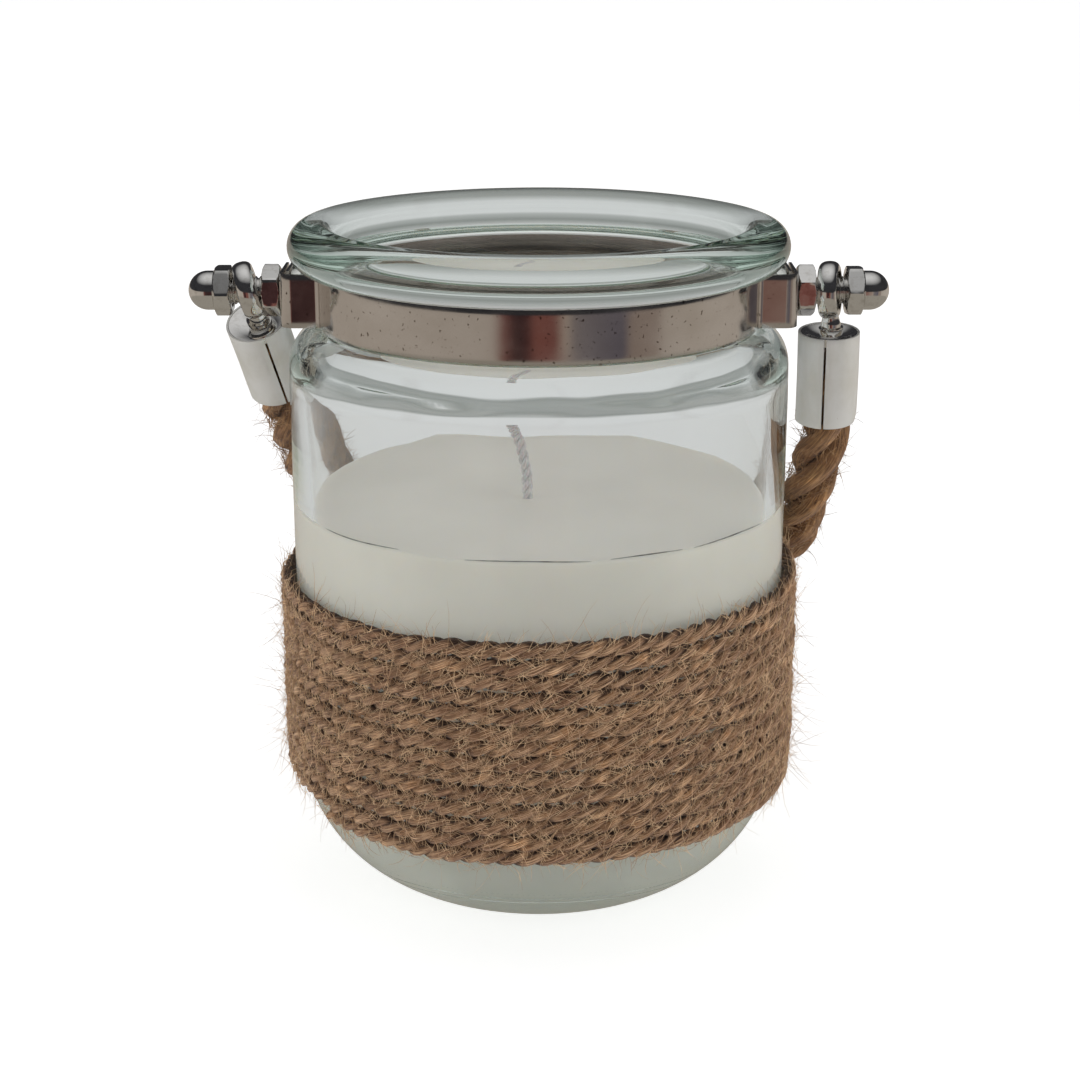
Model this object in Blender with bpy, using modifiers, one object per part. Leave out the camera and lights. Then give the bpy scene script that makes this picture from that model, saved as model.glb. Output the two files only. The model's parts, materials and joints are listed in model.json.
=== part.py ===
"""Candle jar lantern: a clear glass jar with poured wax, jute twine round the lower body, a steel
neck strap with a bolt on each side, and a jute rope bail that swings on the two bolts.

Metres, +Z up. The origin is on the jar's axis at the plane it stands on. The bolts lie along X,
and the front of the jar faces -Y. The handle is modelled hanging down behind the jar.
"""

import math

import bmesh
import bpy
from mathutils import Matrix, Vector

MM = 0.001
GAP = 0.3 * MM

# Glass jar
BODY_RADIUS = 43.6 * MM
HEEL_RADIUS = 25.5 * MM
TOE_RADIUS = 6.0 * MM
TOE_ANGLE = math.radians(20.0)
FOOT_WIDTH = 4.5 * MM
FOOT_RECESS = 1.8 * MM
SHOULDER_TOP = 101.0 * MM
SHOULDER_BASE = 94.5 * MM
NECK_RADIUS = 37.3 * MM
RIM_BASE = 110.9 * MM
RIM_TOP = 118.9 * MM
RIM_RADIUS = 43.25 * MM
MOUTH_RADIUS = 35.0 * MM
LIP_RADIUS = 2.6 * MM
BORE_TOP_RADIUS = 41.2 * MM
CAVITY_RADIUS = 39.6 * MM
CAVITY_HEEL = 20.0 * MM
FLOOR_THICKNESS = 7.5 * MM
JAR_STEPS = 56

# Wax and wick
WAX_TOP = 69.7 * MM
WAX_DISH = 0.7 * MM
WAX_STEPS = 40
WICK_PLACE = Vector((-2.1 * MM, -1.0 * MM, 0.0))
WICK_RADIUS = 1.0 * MM
WICK_HEIGHT = 18.0 * MM
WICK_LEAN = -2.8 * MM
TAB_RADIUS = 9.0 * MM
TAB_HEIGHT = 0.5 * MM

# Twine wrap
TWINE_PITCH = 2.8 * MM
TWINE_RIDGE = 2.5 * MM
TWINE_VALLEY = 1.6 * MM
TWINE_ROWS = 14
TWINE_BASE = 17.6 * MM
TWINE_STEPS = 40

# Neck strap
STRAP_THICKNESS = 0.6 * MM
STRAP_HEIGHT = 9.3 * MM
STRAP_BASE = 101.1 * MM
EAR_REACH = 44.1 * MM
EAR_HALF_WIDTH = 7.0 * MM
EAR_ROUND = 2.0 * MM
EAR_CREASE = 1.2 * MM
FRONT_TAIL = 5.3 * MM
REAR_TAIL = 4.0 * MM
DRILL_DEPTH = 8.0 * MM

# Bolts and nuts, M5 size
AXIS_HEIGHT = 106.4 * MM
SHANK_RADIUS = 2.45 * MM
CLEAR_RADIUS = 2.8 * MM
HEAD_RADIUS = 4.2 * MM
HEAD_HEIGHT = 2.9 * MM
NUT_FLATS = 8.0 * MM
NUT_HEIGHT = 3.1 * MM
CHAMFER_SLOPE = 0.6
CHAMFER_STEPS = 27
CAP_HEX_HEIGHT = 2.9 * MM
CAP_DOME_RADIUS = 3.4 * MM
CAP_LENGTH = 7.6 * MM
CAP_BORE_DEPTH = 4.8 * MM
RING_SPACE = 5.4 * MM

# Eye rings and rope caps
RING_MIDDLE_RADIUS = 3.95 * MM
RING_HALF_THICKNESS = 1.0 * MM
RING_HALF_WIDTH = 1.5 * MM
PLATE_DISTANCE = 8.3 * MM
PLATE_THICKNESS = 0.8 * MM
SLEEVE_TOP = 7.4 * MM
SLEEVE_LENGTH = 16.5 * MM
SLEEVE_RADIUS = 5.4 * MM
SLEEVE_WALL = 0.45 * MM
SEAM_WIDTH = 0.5 * MM

# How far each rope cap leans back and in towards the jar, and sits off its eye ring's middle
LEAN_BACK = {"left": math.radians(33.0), "right": math.radians(6.5)}
LEAN_IN = {"left": math.radians(9.0), "right": math.radians(-1.0)}
CAP_SHIFT = {"left": 0.6 * MM, "right": 0.2 * MM}
SEAM_TURN = {"left": math.radians(12.0), "right": math.radians(-8.0)}

# How far each eye ring leans in on its loose bolt, and turns its inner face to the front
RING_LEAN = {"left": math.radians(9.0), "right": math.radians(-5.0)}
RING_TURN = {"left": math.radians(13.0), "right": math.radians(-14.0)}

# Rope handle
ROPE_RADIUS = 4.4 * MM
ROPE_POINTS = 72
ROPE_ROUTE = [
    (48.6 * MM, 9.5 * MM, 66.5 * MM),
    (46.6 * MM, 24.0 * MM, 53.5 * MM),
    (34.0 * MM, 39.5 * MM, 46.5 * MM),
    (18.0 * MM, 48.9 * MM, 43.5 * MM),
    (0.0 * MM, 52.2 * MM, 43.5 * MM),
    (-18.0 * MM, 49.2 * MM, 46.0 * MM),
    (-32.5 * MM, 42.0 * MM, 52.0 * MM),
    (-42.3 * MM, 31.0 * MM, 63.0 * MM),
]

SIDES = {"left": -1.0, "right": 1.0}


def clear_scene():
    """Empties the scene."""
    for item in list(bpy.data.objects):
        bpy.data.objects.remove(item, do_unlink=True)


def new_collection(name):
    """Adds a collection to the scene."""
    group = bpy.data.collections.new(name)
    bpy.context.scene.collection.children.link(group)
    return group


def material(name, color, roughness, metallic=0.0, transmission=0.0):
    """A Principled material."""
    made = bpy.data.materials.new(name)
    made.use_nodes = True
    shader = made.node_tree.nodes["Principled BSDF"]
    shader.inputs["Base Color"].default_value = (*color, 1.0)
    shader.inputs["Roughness"].default_value = roughness
    shader.inputs["Metallic"].default_value = metallic
    shader.inputs["Transmission Weight"].default_value = transmission
    return made


def add_object(name, data, group, surface=None):
    """Puts an object into a collection and gives it its material."""
    item = bpy.data.objects.new(name, data)
    group.objects.link(item)
    if surface:
        data.materials.append(surface)
    return item


def arc(center, radius, start, end, count):
    """Points (across, up) along an arc, with angles in radians from the across axis."""
    points = []
    for step in range(count + 1):
        angle = start + (end - start) * step / count
        across = center[0] + radius * math.cos(angle)
        up = center[1] + radius * math.sin(angle)
        points.append((across, up))
    return points


def turned(name, profile, group, surface, steps):
    """A body of revolution about Z. The profile runs down the outer side and closes on itself."""
    mesh = bpy.data.meshes.new(name)
    points = [(across, 0.0, up) for across, up in profile]
    edges = [(step, step + 1) for step in range(len(points) - 1)]
    if profile[0][0] > 1e-6 or profile[-1][0] > 1e-6:
        edges.append((len(points) - 1, 0))
    mesh.from_pydata(points, edges, [])
    item = add_object(name, mesh, group, surface)
    screw = item.modifiers.new("Turn", "SCREW")
    screw.steps = steps
    screw.render_steps = steps
    screw.use_merge_vertices = True
    screw.merge_threshold = 1e-5
    screw.use_smooth_shade = True
    return item


def bolt_frame(side, reach):
    """A frame whose Z points outward along the bolt on one side, at a distance from the jar's axis."""
    turn = Matrix.Rotation(SIDES[side] * math.pi / 2, 4, "Y")
    place = Matrix.Translation((SIDES[side] * reach, 0.0, AXIS_HEIGHT))
    return place @ turn


def cut(item, tool):
    """Takes the tool's volume out of the item."""
    boolean = item.modifiers.new("Cut " + tool.name, "BOOLEAN")
    boolean.operation = "DIFFERENCE"
    boolean.object = tool
    tool.hide_render = True
    tool.display_type = "WIRE"


def solid_cylinder(name, radius, depth, group, surface=None, sides=20):
    """A cylinder that starts at its own origin and runs along its own Z."""
    mesh = bpy.data.meshes.new(name)
    shape = bmesh.new()
    lift = Matrix.Translation((0.0, 0.0, depth / 2))
    bmesh.ops.create_cone(
        shape, cap_ends=True, segments=sides, radius1=radius, radius2=radius, depth=depth, matrix=lift
    )
    shape.to_mesh(mesh)
    shape.free()
    return add_object(name, mesh, group, surface)


def jar_heel():
    """The outer side below the body: round heel, tighter toe, flat foot ring and the pushed-up base."""
    middle = BODY_RADIUS - HEEL_RADIUS
    spread = HEEL_RADIUS - TOE_RADIUS
    toe_across = middle + spread * math.sin(TOE_ANGLE)
    heel_height = TOE_RADIUS + spread * math.cos(TOE_ANGLE)
    points = arc((middle, heel_height), HEEL_RADIUS, 0.0, TOE_ANGLE - math.pi / 2, 7)
    points += arc((toe_across, TOE_RADIUS), TOE_RADIUS, TOE_ANGLE - math.pi / 2, -math.pi / 2, 2)[1:]
    inner_foot = toe_across - FOOT_WIDTH
    points.append((inner_foot, 0.0))
    points.append((inner_foot - FOOT_RECESS, FOOT_RECESS * 0.8))
    points.append((0.0, FOOT_RECESS))
    return points, heel_height


def build_jar(group, surface):
    """The glass jar with its rolled rim, neck groove, shoulder and thick base."""
    bead_middle = (RIM_TOP + RIM_BASE) / 2
    half = (RIM_TOP - RIM_BASE) / 2
    outer_bead = arc((RIM_RADIUS - half, bead_middle), half, math.pi / 2, -math.radians(75.0), 6)
    shoulder_depth = SHOULDER_TOP - SHOULDER_BASE
    shoulder = []
    for step in range(6):
        angle = math.pi / 2 * step / 5
        across = NECK_RADIUS + (BODY_RADIUS - NECK_RADIUS) * math.sin(angle)
        shoulder.append((across, SHOULDER_BASE + shoulder_depth * math.cos(angle)))
    heel, _ = jar_heel()
    lip_middle = (MOUTH_RADIUS + LIP_RADIUS, RIM_TOP - LIP_RADIUS)
    lip = arc(lip_middle, LIP_RADIUS, math.pi, math.pi / 2, 3)
    cavity = [(0.0, FLOOR_THICKNESS)]
    cavity += arc(
        (CAVITY_RADIUS - CAVITY_HEEL, FLOOR_THICKNESS + CAVITY_HEEL), CAVITY_HEEL, -math.pi / 2, 0.0, 6
    )
    cavity.append((BORE_TOP_RADIUS, SHOULDER_BASE - 2.5 * MM))
    cavity.append((BORE_TOP_RADIUS - 1.0 * MM, SHOULDER_BASE + 1.0 * MM))
    cavity.append((MOUTH_RADIUS, SHOULDER_TOP + 1.0 * MM))
    profile = outer_bead + [(NECK_RADIUS, RIM_BASE - 0.2 * MM)] + shoulder + heel + cavity + lip
    return turned("glass_jar", profile, group, surface, JAR_STEPS)


def body_radius_at(height):
    """The jar's outer radius at a height on the straight body or the round heel."""
    _, heel_height = jar_heel()
    if height >= heel_height:
        return BODY_RADIUS
    drop = heel_height - height
    return BODY_RADIUS - HEEL_RADIUS + math.sqrt(HEEL_RADIUS**2 - drop**2)


def bore_radius_at(height):
    """The jar's inner radius at a height on the slightly flared wall over the inner heel."""
    low = FLOOR_THICKNESS + CAVITY_HEEL
    share = (height - low) / (SHOULDER_BASE - 2.5 * MM - low)
    return CAVITY_RADIUS + (BORE_TOP_RADIUS - CAVITY_RADIUS) * share


def build_wax(group, tools, surface):
    """The poured wax, with the channel that the wick runs in and the pocket over the wick's tab."""
    low = FLOOR_THICKNESS + GAP
    lower = CAVITY_RADIUS - GAP
    upper = bore_radius_at(WAX_TOP) - GAP
    heel = CAVITY_HEEL - GAP
    profile = [(0.0, WAX_TOP - WAX_DISH)]
    profile.append((upper * 0.45, WAX_TOP - WAX_DISH * 0.8))
    profile.append((upper * 0.85, WAX_TOP - WAX_DISH * 0.15))
    profile.append((upper, WAX_TOP))
    profile += arc((lower - heel, low + heel), heel, 0.0, -math.pi / 2, 6)
    profile.append((0.0, low))
    wax = turned("candle_wax", profile, group, surface, WAX_STEPS)
    channel = solid_cylinder("wick_channel", WICK_RADIUS + GAP, WAX_TOP, tools, sides=16)
    channel.location = WICK_PLACE + Vector((0.0, 0.0, low - MM))
    pocket = solid_cylinder("tab_pocket", TAB_RADIUS + GAP, MM + TAB_HEIGHT + GAP, tools, sides=32)
    pocket.location = WICK_PLACE + Vector((0.0, 0.0, low - MM))
    cut(wax, channel)
    cut(wax, pocket)
    return wax


def poly_tube(name, points, radius, group, surface, resolution=2):
    """A round tube with filled ends along a list of points."""
    data = bpy.data.curves.new(name, "CURVE")
    data.dimensions = "3D"
    data.bevel_depth = radius
    data.bevel_resolution = resolution
    data.use_fill_caps = True
    line = data.splines.new("POLY")
    line.points.add(len(points) - 1)
    for place, point in zip(line.points, points):
        place.co = (*point, 1.0)
    return add_object(name, data, group, surface)


def build_wick(group, cotton, tin):
    """The cotton wick, standing on its tin tab and leaning a little where it leaves the wax."""
    low = FLOOR_THICKNESS + GAP + TAB_HEIGHT + GAP
    points = [WICK_PLACE + Vector((0.0, 0.0, low)), WICK_PLACE + Vector((0.0, 0.0, WAX_TOP * 0.5))]
    points.append(WICK_PLACE + Vector((0.0, 0.0, WAX_TOP)))
    for share in (0.25, 0.5, 0.75, 1.0):
        side = WICK_LEAN * share**1.3
        points.append(WICK_PLACE + Vector((side, 0.0, WAX_TOP + WICK_HEIGHT * share)))
    wick = poly_tube("wick", points, WICK_RADIUS, group, cotton)
    tab = solid_cylinder("wick_sustainer", TAB_RADIUS, TAB_HEIGHT, group, tin, sides=32)
    tab.location = WICK_PLACE + Vector((0.0, 0.0, FLOOR_THICKNESS + GAP))
    return [wick, tab]


def build_twine(group, surface):
    """The wound twine as one turned sleeve, ridged outside, against the glass inside."""
    top = TWINE_BASE + TWINE_ROWS * TWINE_PITCH
    outside = [(body_radius_at(top) + TWINE_VALLEY + GAP, top)]
    for row in range(TWINE_ROWS):
        lower = top - (row + 1) * TWINE_PITCH
        middle = lower + TWINE_PITCH / 2
        outside.append((body_radius_at(middle) + TWINE_RIDGE + GAP, middle))
        outside.append((body_radius_at(lower) + TWINE_VALLEY + GAP, lower))
    inside = []
    for height in (TWINE_BASE, TWINE_BASE + 2 * MM, TWINE_BASE + 4.5 * MM, TWINE_BASE + 9 * MM):
        inside.append((body_radius_at(height) + GAP, height))
    inside.append((BODY_RADIUS + GAP, top))
    return turned("twine_wrap", outside + inside, group, surface, TWINE_STEPS)


def strap_path(reach, tail, mirror):
    """Half of the strap's middle line seen from above, from the right-hand end to the left-hand end.

    The tail is how far the strap's end runs past the bolt. mirror is -1 for the front half and 1 for
    the rear half."""
    ring = NECK_RADIUS + GAP + STRAP_THICKNESS / 2
    wall = EAR_HALF_WIDTH
    crease = ring + EAR_CREASE
    across = math.sqrt(crease**2 - (wall + EAR_CREASE) ** 2)
    turn = math.atan2(wall + EAR_CREASE, across)
    right = [(reach, -tail)]
    corner = (reach - EAR_ROUND, wall - EAR_ROUND)
    right += arc(corner, EAR_ROUND, 0.0, math.pi / 2, 5)
    right += arc((across, wall + EAR_CREASE), EAR_CREASE, -math.pi / 2, turn - math.pi, 4)
    round_part = arc((0.0, 0.0), ring, turn, math.pi - turn, 30)[1:-1]
    left = [(-x, y) for x, y in reversed(right)]
    return [(x, mirror * y) for x, y in right + round_part + left]


def build_strap(name, reach, tail, mirror, group, tools, surface):
    """One half of the steel neck strap: a bent strip with a drilled ear at each end."""
    path = strap_path(reach, tail, mirror)
    mesh = bpy.data.meshes.new(name)
    shape = bmesh.new()
    line = [shape.verts.new((x, y, STRAP_BASE)) for x, y in path]
    edges = [shape.edges.new(pair) for pair in zip(line, line[1:])]
    raised = bmesh.ops.extrude_edge_only(shape, edges=edges)
    for part in raised["geom"]:
        if isinstance(part, bmesh.types.BMVert):
            part.co.z += STRAP_HEIGHT
    bmesh.ops.recalc_face_normals(shape, faces=shape.faces)
    shape.to_mesh(mesh)
    shape.free()
    mesh.shade_smooth()
    strap = add_object(name, mesh, group, surface)
    thick = strap.modifiers.new("Sheet", "SOLIDIFY")
    thick.thickness = STRAP_THICKNESS
    thick.offset = 0.0
    thick.use_even_offset = True
    for side in SIDES:
        drill = solid_cylinder(name + "_hole_" + side, CLEAR_RADIUS, DRILL_DEPTH, tools)
        drill.matrix_world = bolt_frame(side, reach - DRILL_DEPTH / 2)
        cut(strap, drill)
    return strap


def build_bolt(side, group, surface):
    """A pan-head bolt with its head inside the strap's ear and its shank pointing outward."""
    head_face = EAR_REACH - 1.5 * STRAP_THICKNESS - 2 * GAP
    shank = head_face_to_tip(head_face)
    profile = [(0.0, shank), (SHANK_RADIUS - 0.5 * MM, shank), (SHANK_RADIUS, shank - 0.5 * MM)]
    profile.append((SHANK_RADIUS, 0.0))
    profile.append((HEAD_RADIUS, 0.0))
    profile.append((HEAD_RADIUS, -HEAD_HEIGHT * 0.55))
    profile.append((HEAD_RADIUS * 0.72, -HEAD_HEIGHT * 0.92))
    profile.append((0.0, -HEAD_HEIGHT))
    bolt = turned(side + "_bolt", profile, group, surface, 24)
    bolt.matrix_world = bolt_frame(side, head_face)
    return bolt


def nut_start():
    """Distance from the jar's axis to the inner face of a hex nut."""
    return EAR_REACH + STRAP_THICKNESS / 2 + GAP


def cap_start():
    """Distance from the jar's axis to the inner face of a cap nut."""
    return nut_start() + NUT_HEIGHT + RING_SPACE


def head_face_to_tip(head_face):
    """Length of a bolt's shank."""
    return cap_start() + CAP_BORE_DEPTH - GAP - head_face


def hexagon(name, height, group, surface):
    """A hexagonal bar standing on its own origin, with two of its corners along its own Y."""
    corner = NUT_FLATS / math.sqrt(3.0)
    mesh = bpy.data.meshes.new(name)
    shape = bmesh.new()
    lift = Matrix.Translation((0.0, 0.0, height / 2))
    bmesh.ops.create_cone(
        shape, cap_ends=True, segments=6, radius1=corner, radius2=corner, depth=height, matrix=lift
    )
    shape.to_mesh(mesh)
    shape.free()
    return add_object(name, mesh, group, surface)


def chamfer_tool(name, height, tools):
    """A turned envelope that takes the sharp corners off a hexagon's two ends."""
    flat = NUT_FLATS / 2 * 0.97
    wide = NUT_FLATS / math.sqrt(3.0) + 0.2 * MM
    slope = (wide - flat) * CHAMFER_SLOPE
    profile = [(0.0, height), (flat, height), (wide, height - slope), (wide, slope), (flat, 0.0), (0.0, 0.0)]
    return turned(name, profile, tools, None, CHAMFER_STEPS)


def keep_common(item, tool):
    """Keeps only what the item and the tool share."""
    boolean = item.modifiers.new("Chamfer", "BOOLEAN")
    boolean.operation = "INTERSECT"
    boolean.object = tool
    tool.hide_render = True
    tool.display_type = "WIRE"


def build_hex_nut(side, group, tools, surface):
    """A chamfered thin hex nut against the strap's ear, with a flat to the front."""
    frame = bolt_frame(side, nut_start()) @ Matrix.Rotation(math.pi / 6, 4, "Z")
    nut = hexagon(side + "_hex_nut", NUT_HEIGHT, group, surface)
    nut.matrix_world = frame
    envelope = chamfer_tool(side + "_nut_chamfer", NUT_HEIGHT, tools)
    envelope.matrix_world = frame
    keep_common(nut, envelope)
    bore = solid_cylinder(side + "_nut_bore", CLEAR_RADIUS, NUT_HEIGHT + 2 * MM, tools)
    bore.matrix_world = frame @ Matrix.Translation((0.0, 0.0, -MM))
    cut(nut, bore)
    return nut


def build_cap_nut(side, group, tools, surface):
    """A domed cap nut on the bolt's end, with a corner to the front."""
    frame = bolt_frame(side, cap_start())
    nut = hexagon(side + "_cap_nut", CAP_HEX_HEIGHT, group, surface)
    nut.matrix_world = frame
    envelope = chamfer_tool(side + "_cap_chamfer", CAP_HEX_HEIGHT, tools)
    envelope.matrix_world = frame
    keep_common(nut, envelope)
    straight = CAP_LENGTH - CAP_DOME_RADIUS
    profile = arc((0.0, straight), CAP_DOME_RADIUS, math.pi / 2, 0.0, 5)
    profile[0] = (0.0, CAP_LENGTH)
    profile.append((CAP_DOME_RADIUS, CAP_HEX_HEIGHT / 2))
    profile.append((0.0, CAP_HEX_HEIGHT / 2))
    dome = turned(side + "_cap_dome", profile, tools, None, 24)
    dome.matrix_world = frame
    dome.hide_render = True
    dome.display_type = "WIRE"
    join = nut.modifiers.new("Dome", "BOOLEAN")
    join.operation = "UNION"
    join.object = dome
    bore = solid_cylinder(side + "_cap_bore", CLEAR_RADIUS, CAP_BORE_DEPTH + MM, tools)
    bore.matrix_world = frame @ Matrix.Translation((0.0, 0.0, -MM))
    cut(nut, bore)
    return nut


def leaning_frame(side, shift, lean):
    """A frame with its origin near the bolt's axis and its -Z towards the hanging rope cap."""
    middle = nut_start() + NUT_HEIGHT + RING_SPACE / 2 + shift
    place = Matrix.Translation((SIDES[side] * middle, 0.0, AXIS_HEIGHT))
    back = Matrix.Rotation(LEAN_BACK[side], 4, "X")
    inward = Matrix.Rotation(SIDES[side] * lean, 4, "Y")
    return place @ back @ inward


def cap_frame(side):
    """The frame of a rope cap, whose axis is its Z."""
    return leaning_frame(side, CAP_SHIFT[side], LEAN_IN[side])


def ring_frame(side):
    """The frame of an eye ring: its middle is the origin and its shank runs along -Z."""
    return leaning_frame(side, 0.0, RING_LEAN[side]) @ Matrix.Rotation(RING_TURN[side], 4, "Z")


def build_eye_ring(side, group, tools, surface):
    """An eye ring with the short waisted shank that joins it to the rope cap's plate."""
    oval = []
    for step in range(10):
        angle = -2 * math.pi * step / 10
        across = RING_MIDDLE_RADIUS + RING_HALF_THICKNESS * math.cos(angle)
        oval.append((across, RING_HALF_WIDTH * math.sin(angle)))
    ring = turned(side + "_eye_ring", oval, group, surface, 24)
    frame = ring_frame(side)
    ring.matrix_world = frame @ Matrix.Rotation(math.pi / 2, 4, "Y")
    start = RING_MIDDLE_RADIUS + 0.2 * MM
    end = PLATE_DISTANCE - 2 * GAP
    profile = [(0.0, -start), (1.35 * MM, -start), (1.3 * MM, -(start + end) / 2)]
    profile += [(2.1 * MM, -end), (0.0, -end)]
    shank = turned(side + "_eye_shank", profile, tools, None, 20)
    shank.matrix_world = frame
    shank.hide_render = True
    shank.display_type = "WIRE"
    join = ring.modifiers.new("Shank", "BOOLEAN")
    join.operation = "UNION"
    join.object = shank
    return ring


def build_rope_cap(side, group, tools, satin, bright):
    """The bright recessed plate and the rolled sheet sleeve of one rope cap."""
    frame = cap_frame(side)
    low = -PLATE_DISTANCE - PLATE_THICKNESS
    plate_radius = SLEEVE_RADIUS - SLEEVE_WALL - GAP
    edge = 0.25 * MM
    profile = [(0.0, -PLATE_DISTANCE), (plate_radius - edge, -PLATE_DISTANCE)]
    profile += [(plate_radius, -PLATE_DISTANCE - edge), (plate_radius, low), (0.0, low)]
    plate = turned(side + "_ferrule_plate", profile, group, bright, 32)
    plate.matrix_world = frame
    top = -SLEEVE_TOP
    bottom = -SLEEVE_TOP - SLEEVE_LENGTH
    inner = SLEEVE_RADIUS - SLEEVE_WALL
    lip = 0.15 * MM
    profile = [(inner + lip, top), (SLEEVE_RADIUS - lip, top), (SLEEVE_RADIUS, top - lip)]
    profile += [(SLEEVE_RADIUS, bottom + lip), (SLEEVE_RADIUS - lip, bottom)]
    profile += [(inner, bottom), (inner, top - lip)]
    sleeve = turned(side + "_ferrule_sleeve", profile, group, satin, 36)
    sleeve.matrix_world = frame
    groove = seam_tool(side, tools)
    groove.matrix_world = frame @ Matrix.Rotation(SEAM_TURN[side], 4, "Z")
    cut(sleeve, groove)
    return [plate, sleeve]


def seam_tool(side, tools):
    """A narrow bar that leaves the open lengthwise seam of a rolled sleeve, on its front."""
    mesh = bpy.data.meshes.new(side + "_seam")
    shape = bmesh.new()
    depth = 3 * SLEEVE_WALL
    size = Matrix.Diagonal((SEAM_WIDTH, depth, SLEEVE_LENGTH + 2 * MM, 1.0))
    middle = -SLEEVE_TOP - SLEEVE_LENGTH / 2
    place = Matrix.Translation((0.0, -(SLEEVE_RADIUS - SLEEVE_WALL / 2), middle))
    bmesh.ops.create_cube(shape, size=1.0, matrix=place @ size)
    shape.to_mesh(mesh)
    shape.free()
    return add_object(side + "_seam", mesh, tools)


def smooth_route(points, count):
    """Evenly spaced points on a smooth curve through a list of points."""
    padded = [2 * points[0] - points[1]] + points + [2 * points[-1] - points[-2]]
    fine = []
    for index in range(len(points) - 1):
        before, start, end, after = padded[index : index + 4]
        for step in range(24):
            share = step / 24
            bend = 2 * start + (end - before) * share
            bend += (2 * before - 5 * start + 4 * end - after) * share**2
            bend += (3 * start - before - 3 * end + after) * share**3
            fine.append(bend / 2)
    fine.append(points[-1])
    lengths = [0.0]
    for first, second in zip(fine, fine[1:]):
        lengths.append(lengths[-1] + (second - first).length)
    even = []
    index = 0
    for step in range(count):
        target = lengths[-1] * step / (count - 1)
        while index < len(fine) - 2 and lengths[index + 1] < target:
            index += 1
        share = (target - lengths[index]) / (lengths[index + 1] - lengths[index])
        even.append(fine[index].lerp(fine[index + 1], share))
    return even


def rope_route():
    """The rope's route from inside the right-hand cap, behind the jar, into the left-hand cap."""
    start = -PLATE_DISTANCE - PLATE_THICKNESS - GAP
    mouth = -SLEEVE_TOP - SLEEVE_LENGTH
    route = []
    for distance in (start, (start + mouth) / 2, mouth - 2.0 * MM):
        route.append(cap_frame("right") @ Vector((0.0, 0.0, distance)))
    route += [Vector(point) for point in ROPE_ROUTE]
    for distance in (mouth - 2.0 * MM, (start + mouth) / 2, start):
        route.append(cap_frame("left") @ Vector((0.0, 0.0, distance)))
    return route


def build_rope(group, surface):
    """The rope handle: one thick rope from cap to cap."""
    points = smooth_route(rope_route(), ROPE_POINTS)
    return poly_tube("rope_handle", points, ROPE_RADIUS, group, surface)


def hang_on_bolts(pieces):
    """Parents the swinging pieces to an empty on the bolts' axis."""
    pivot = bpy.data.objects.new("handle_pivot", None)
    pivot.location = (0.0, 0.0, AXIS_HEIGHT)
    bpy.context.scene.collection.objects.link(pivot)
    for piece in pieces:
        piece.parent = pivot
        piece.matrix_parent_inverse = Matrix.Translation((0.0, 0.0, -AXIS_HEIGHT))


def main():
    clear_scene()
    parts = new_collection("candle_jar_lantern")
    tools = new_collection("cutters")

    glass = material("clear_glass", (0.93, 0.97, 0.95), 0.03, transmission=1.0)
    wax = material("ivory_wax", (0.80, 0.78, 0.71), 0.45)
    cotton = material("wick_cotton", (0.80, 0.79, 0.78), 0.9)
    tin = material("tinned_steel", (0.60, 0.60, 0.58), 0.35, metallic=1.0)
    strap_steel = material("polished_strap_steel", (0.62, 0.59, 0.56), 0.2, metallic=1.0)
    chrome = material("bright_chrome", (0.80, 0.80, 0.79), 0.08, metallic=1.0)
    satin = material("satin_steel", (0.72, 0.71, 0.68), 0.3, metallic=1.0)
    twine = material("jute_twine", (0.50, 0.36, 0.22), 0.9)
    rope = material("jute_rope", (0.42, 0.26, 0.14), 0.9)

    build_jar(parts, glass)
    build_wax(parts, tools, wax)
    build_wick(parts, cotton, tin)
    build_twine(parts, twine)

    inner_reach = EAR_REACH - STRAP_THICKNESS - GAP
    build_strap("front_band", EAR_REACH, FRONT_TAIL, -1.0, parts, tools, strap_steel)
    build_strap("rear_band", inner_reach, REAR_TAIL, 1.0, parts, tools, strap_steel)

    swinging = []
    for side in SIDES:
        build_bolt(side, parts, chrome)
        build_hex_nut(side, parts, tools, chrome)
        build_cap_nut(side, parts, tools, chrome)
        swinging.append(build_eye_ring(side, parts, tools, chrome))
        swinging += build_rope_cap(side, parts, tools, satin, chrome)
    swinging.append(build_rope(parts, rope))
    hang_on_bolts(swinging)


main()
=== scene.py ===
"""Looks of the candle jar lantern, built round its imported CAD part.

Metres, +Z up, the part's own frame: the jar's axis is Z, the bolts lie along X and the front faces -Y.
"""

import json
import math

import bmesh
import bpy
import numpy as np
from mathutils import Matrix, Vector


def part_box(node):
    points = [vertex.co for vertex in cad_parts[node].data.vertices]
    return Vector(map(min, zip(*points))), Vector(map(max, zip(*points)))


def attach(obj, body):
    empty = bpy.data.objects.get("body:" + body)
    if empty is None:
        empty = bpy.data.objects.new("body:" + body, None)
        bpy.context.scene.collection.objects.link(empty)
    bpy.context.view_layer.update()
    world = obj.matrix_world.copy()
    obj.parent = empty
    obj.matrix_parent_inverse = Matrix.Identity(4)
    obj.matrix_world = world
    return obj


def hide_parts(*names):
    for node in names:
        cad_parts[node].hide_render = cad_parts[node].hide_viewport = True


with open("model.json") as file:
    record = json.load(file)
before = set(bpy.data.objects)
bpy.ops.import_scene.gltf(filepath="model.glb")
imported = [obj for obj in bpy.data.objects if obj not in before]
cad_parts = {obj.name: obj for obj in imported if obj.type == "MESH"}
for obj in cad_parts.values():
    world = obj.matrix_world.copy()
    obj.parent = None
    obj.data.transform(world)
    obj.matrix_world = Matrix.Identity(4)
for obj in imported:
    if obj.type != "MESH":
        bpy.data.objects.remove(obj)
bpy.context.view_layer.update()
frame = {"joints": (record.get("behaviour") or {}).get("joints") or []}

MM = 0.001

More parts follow.
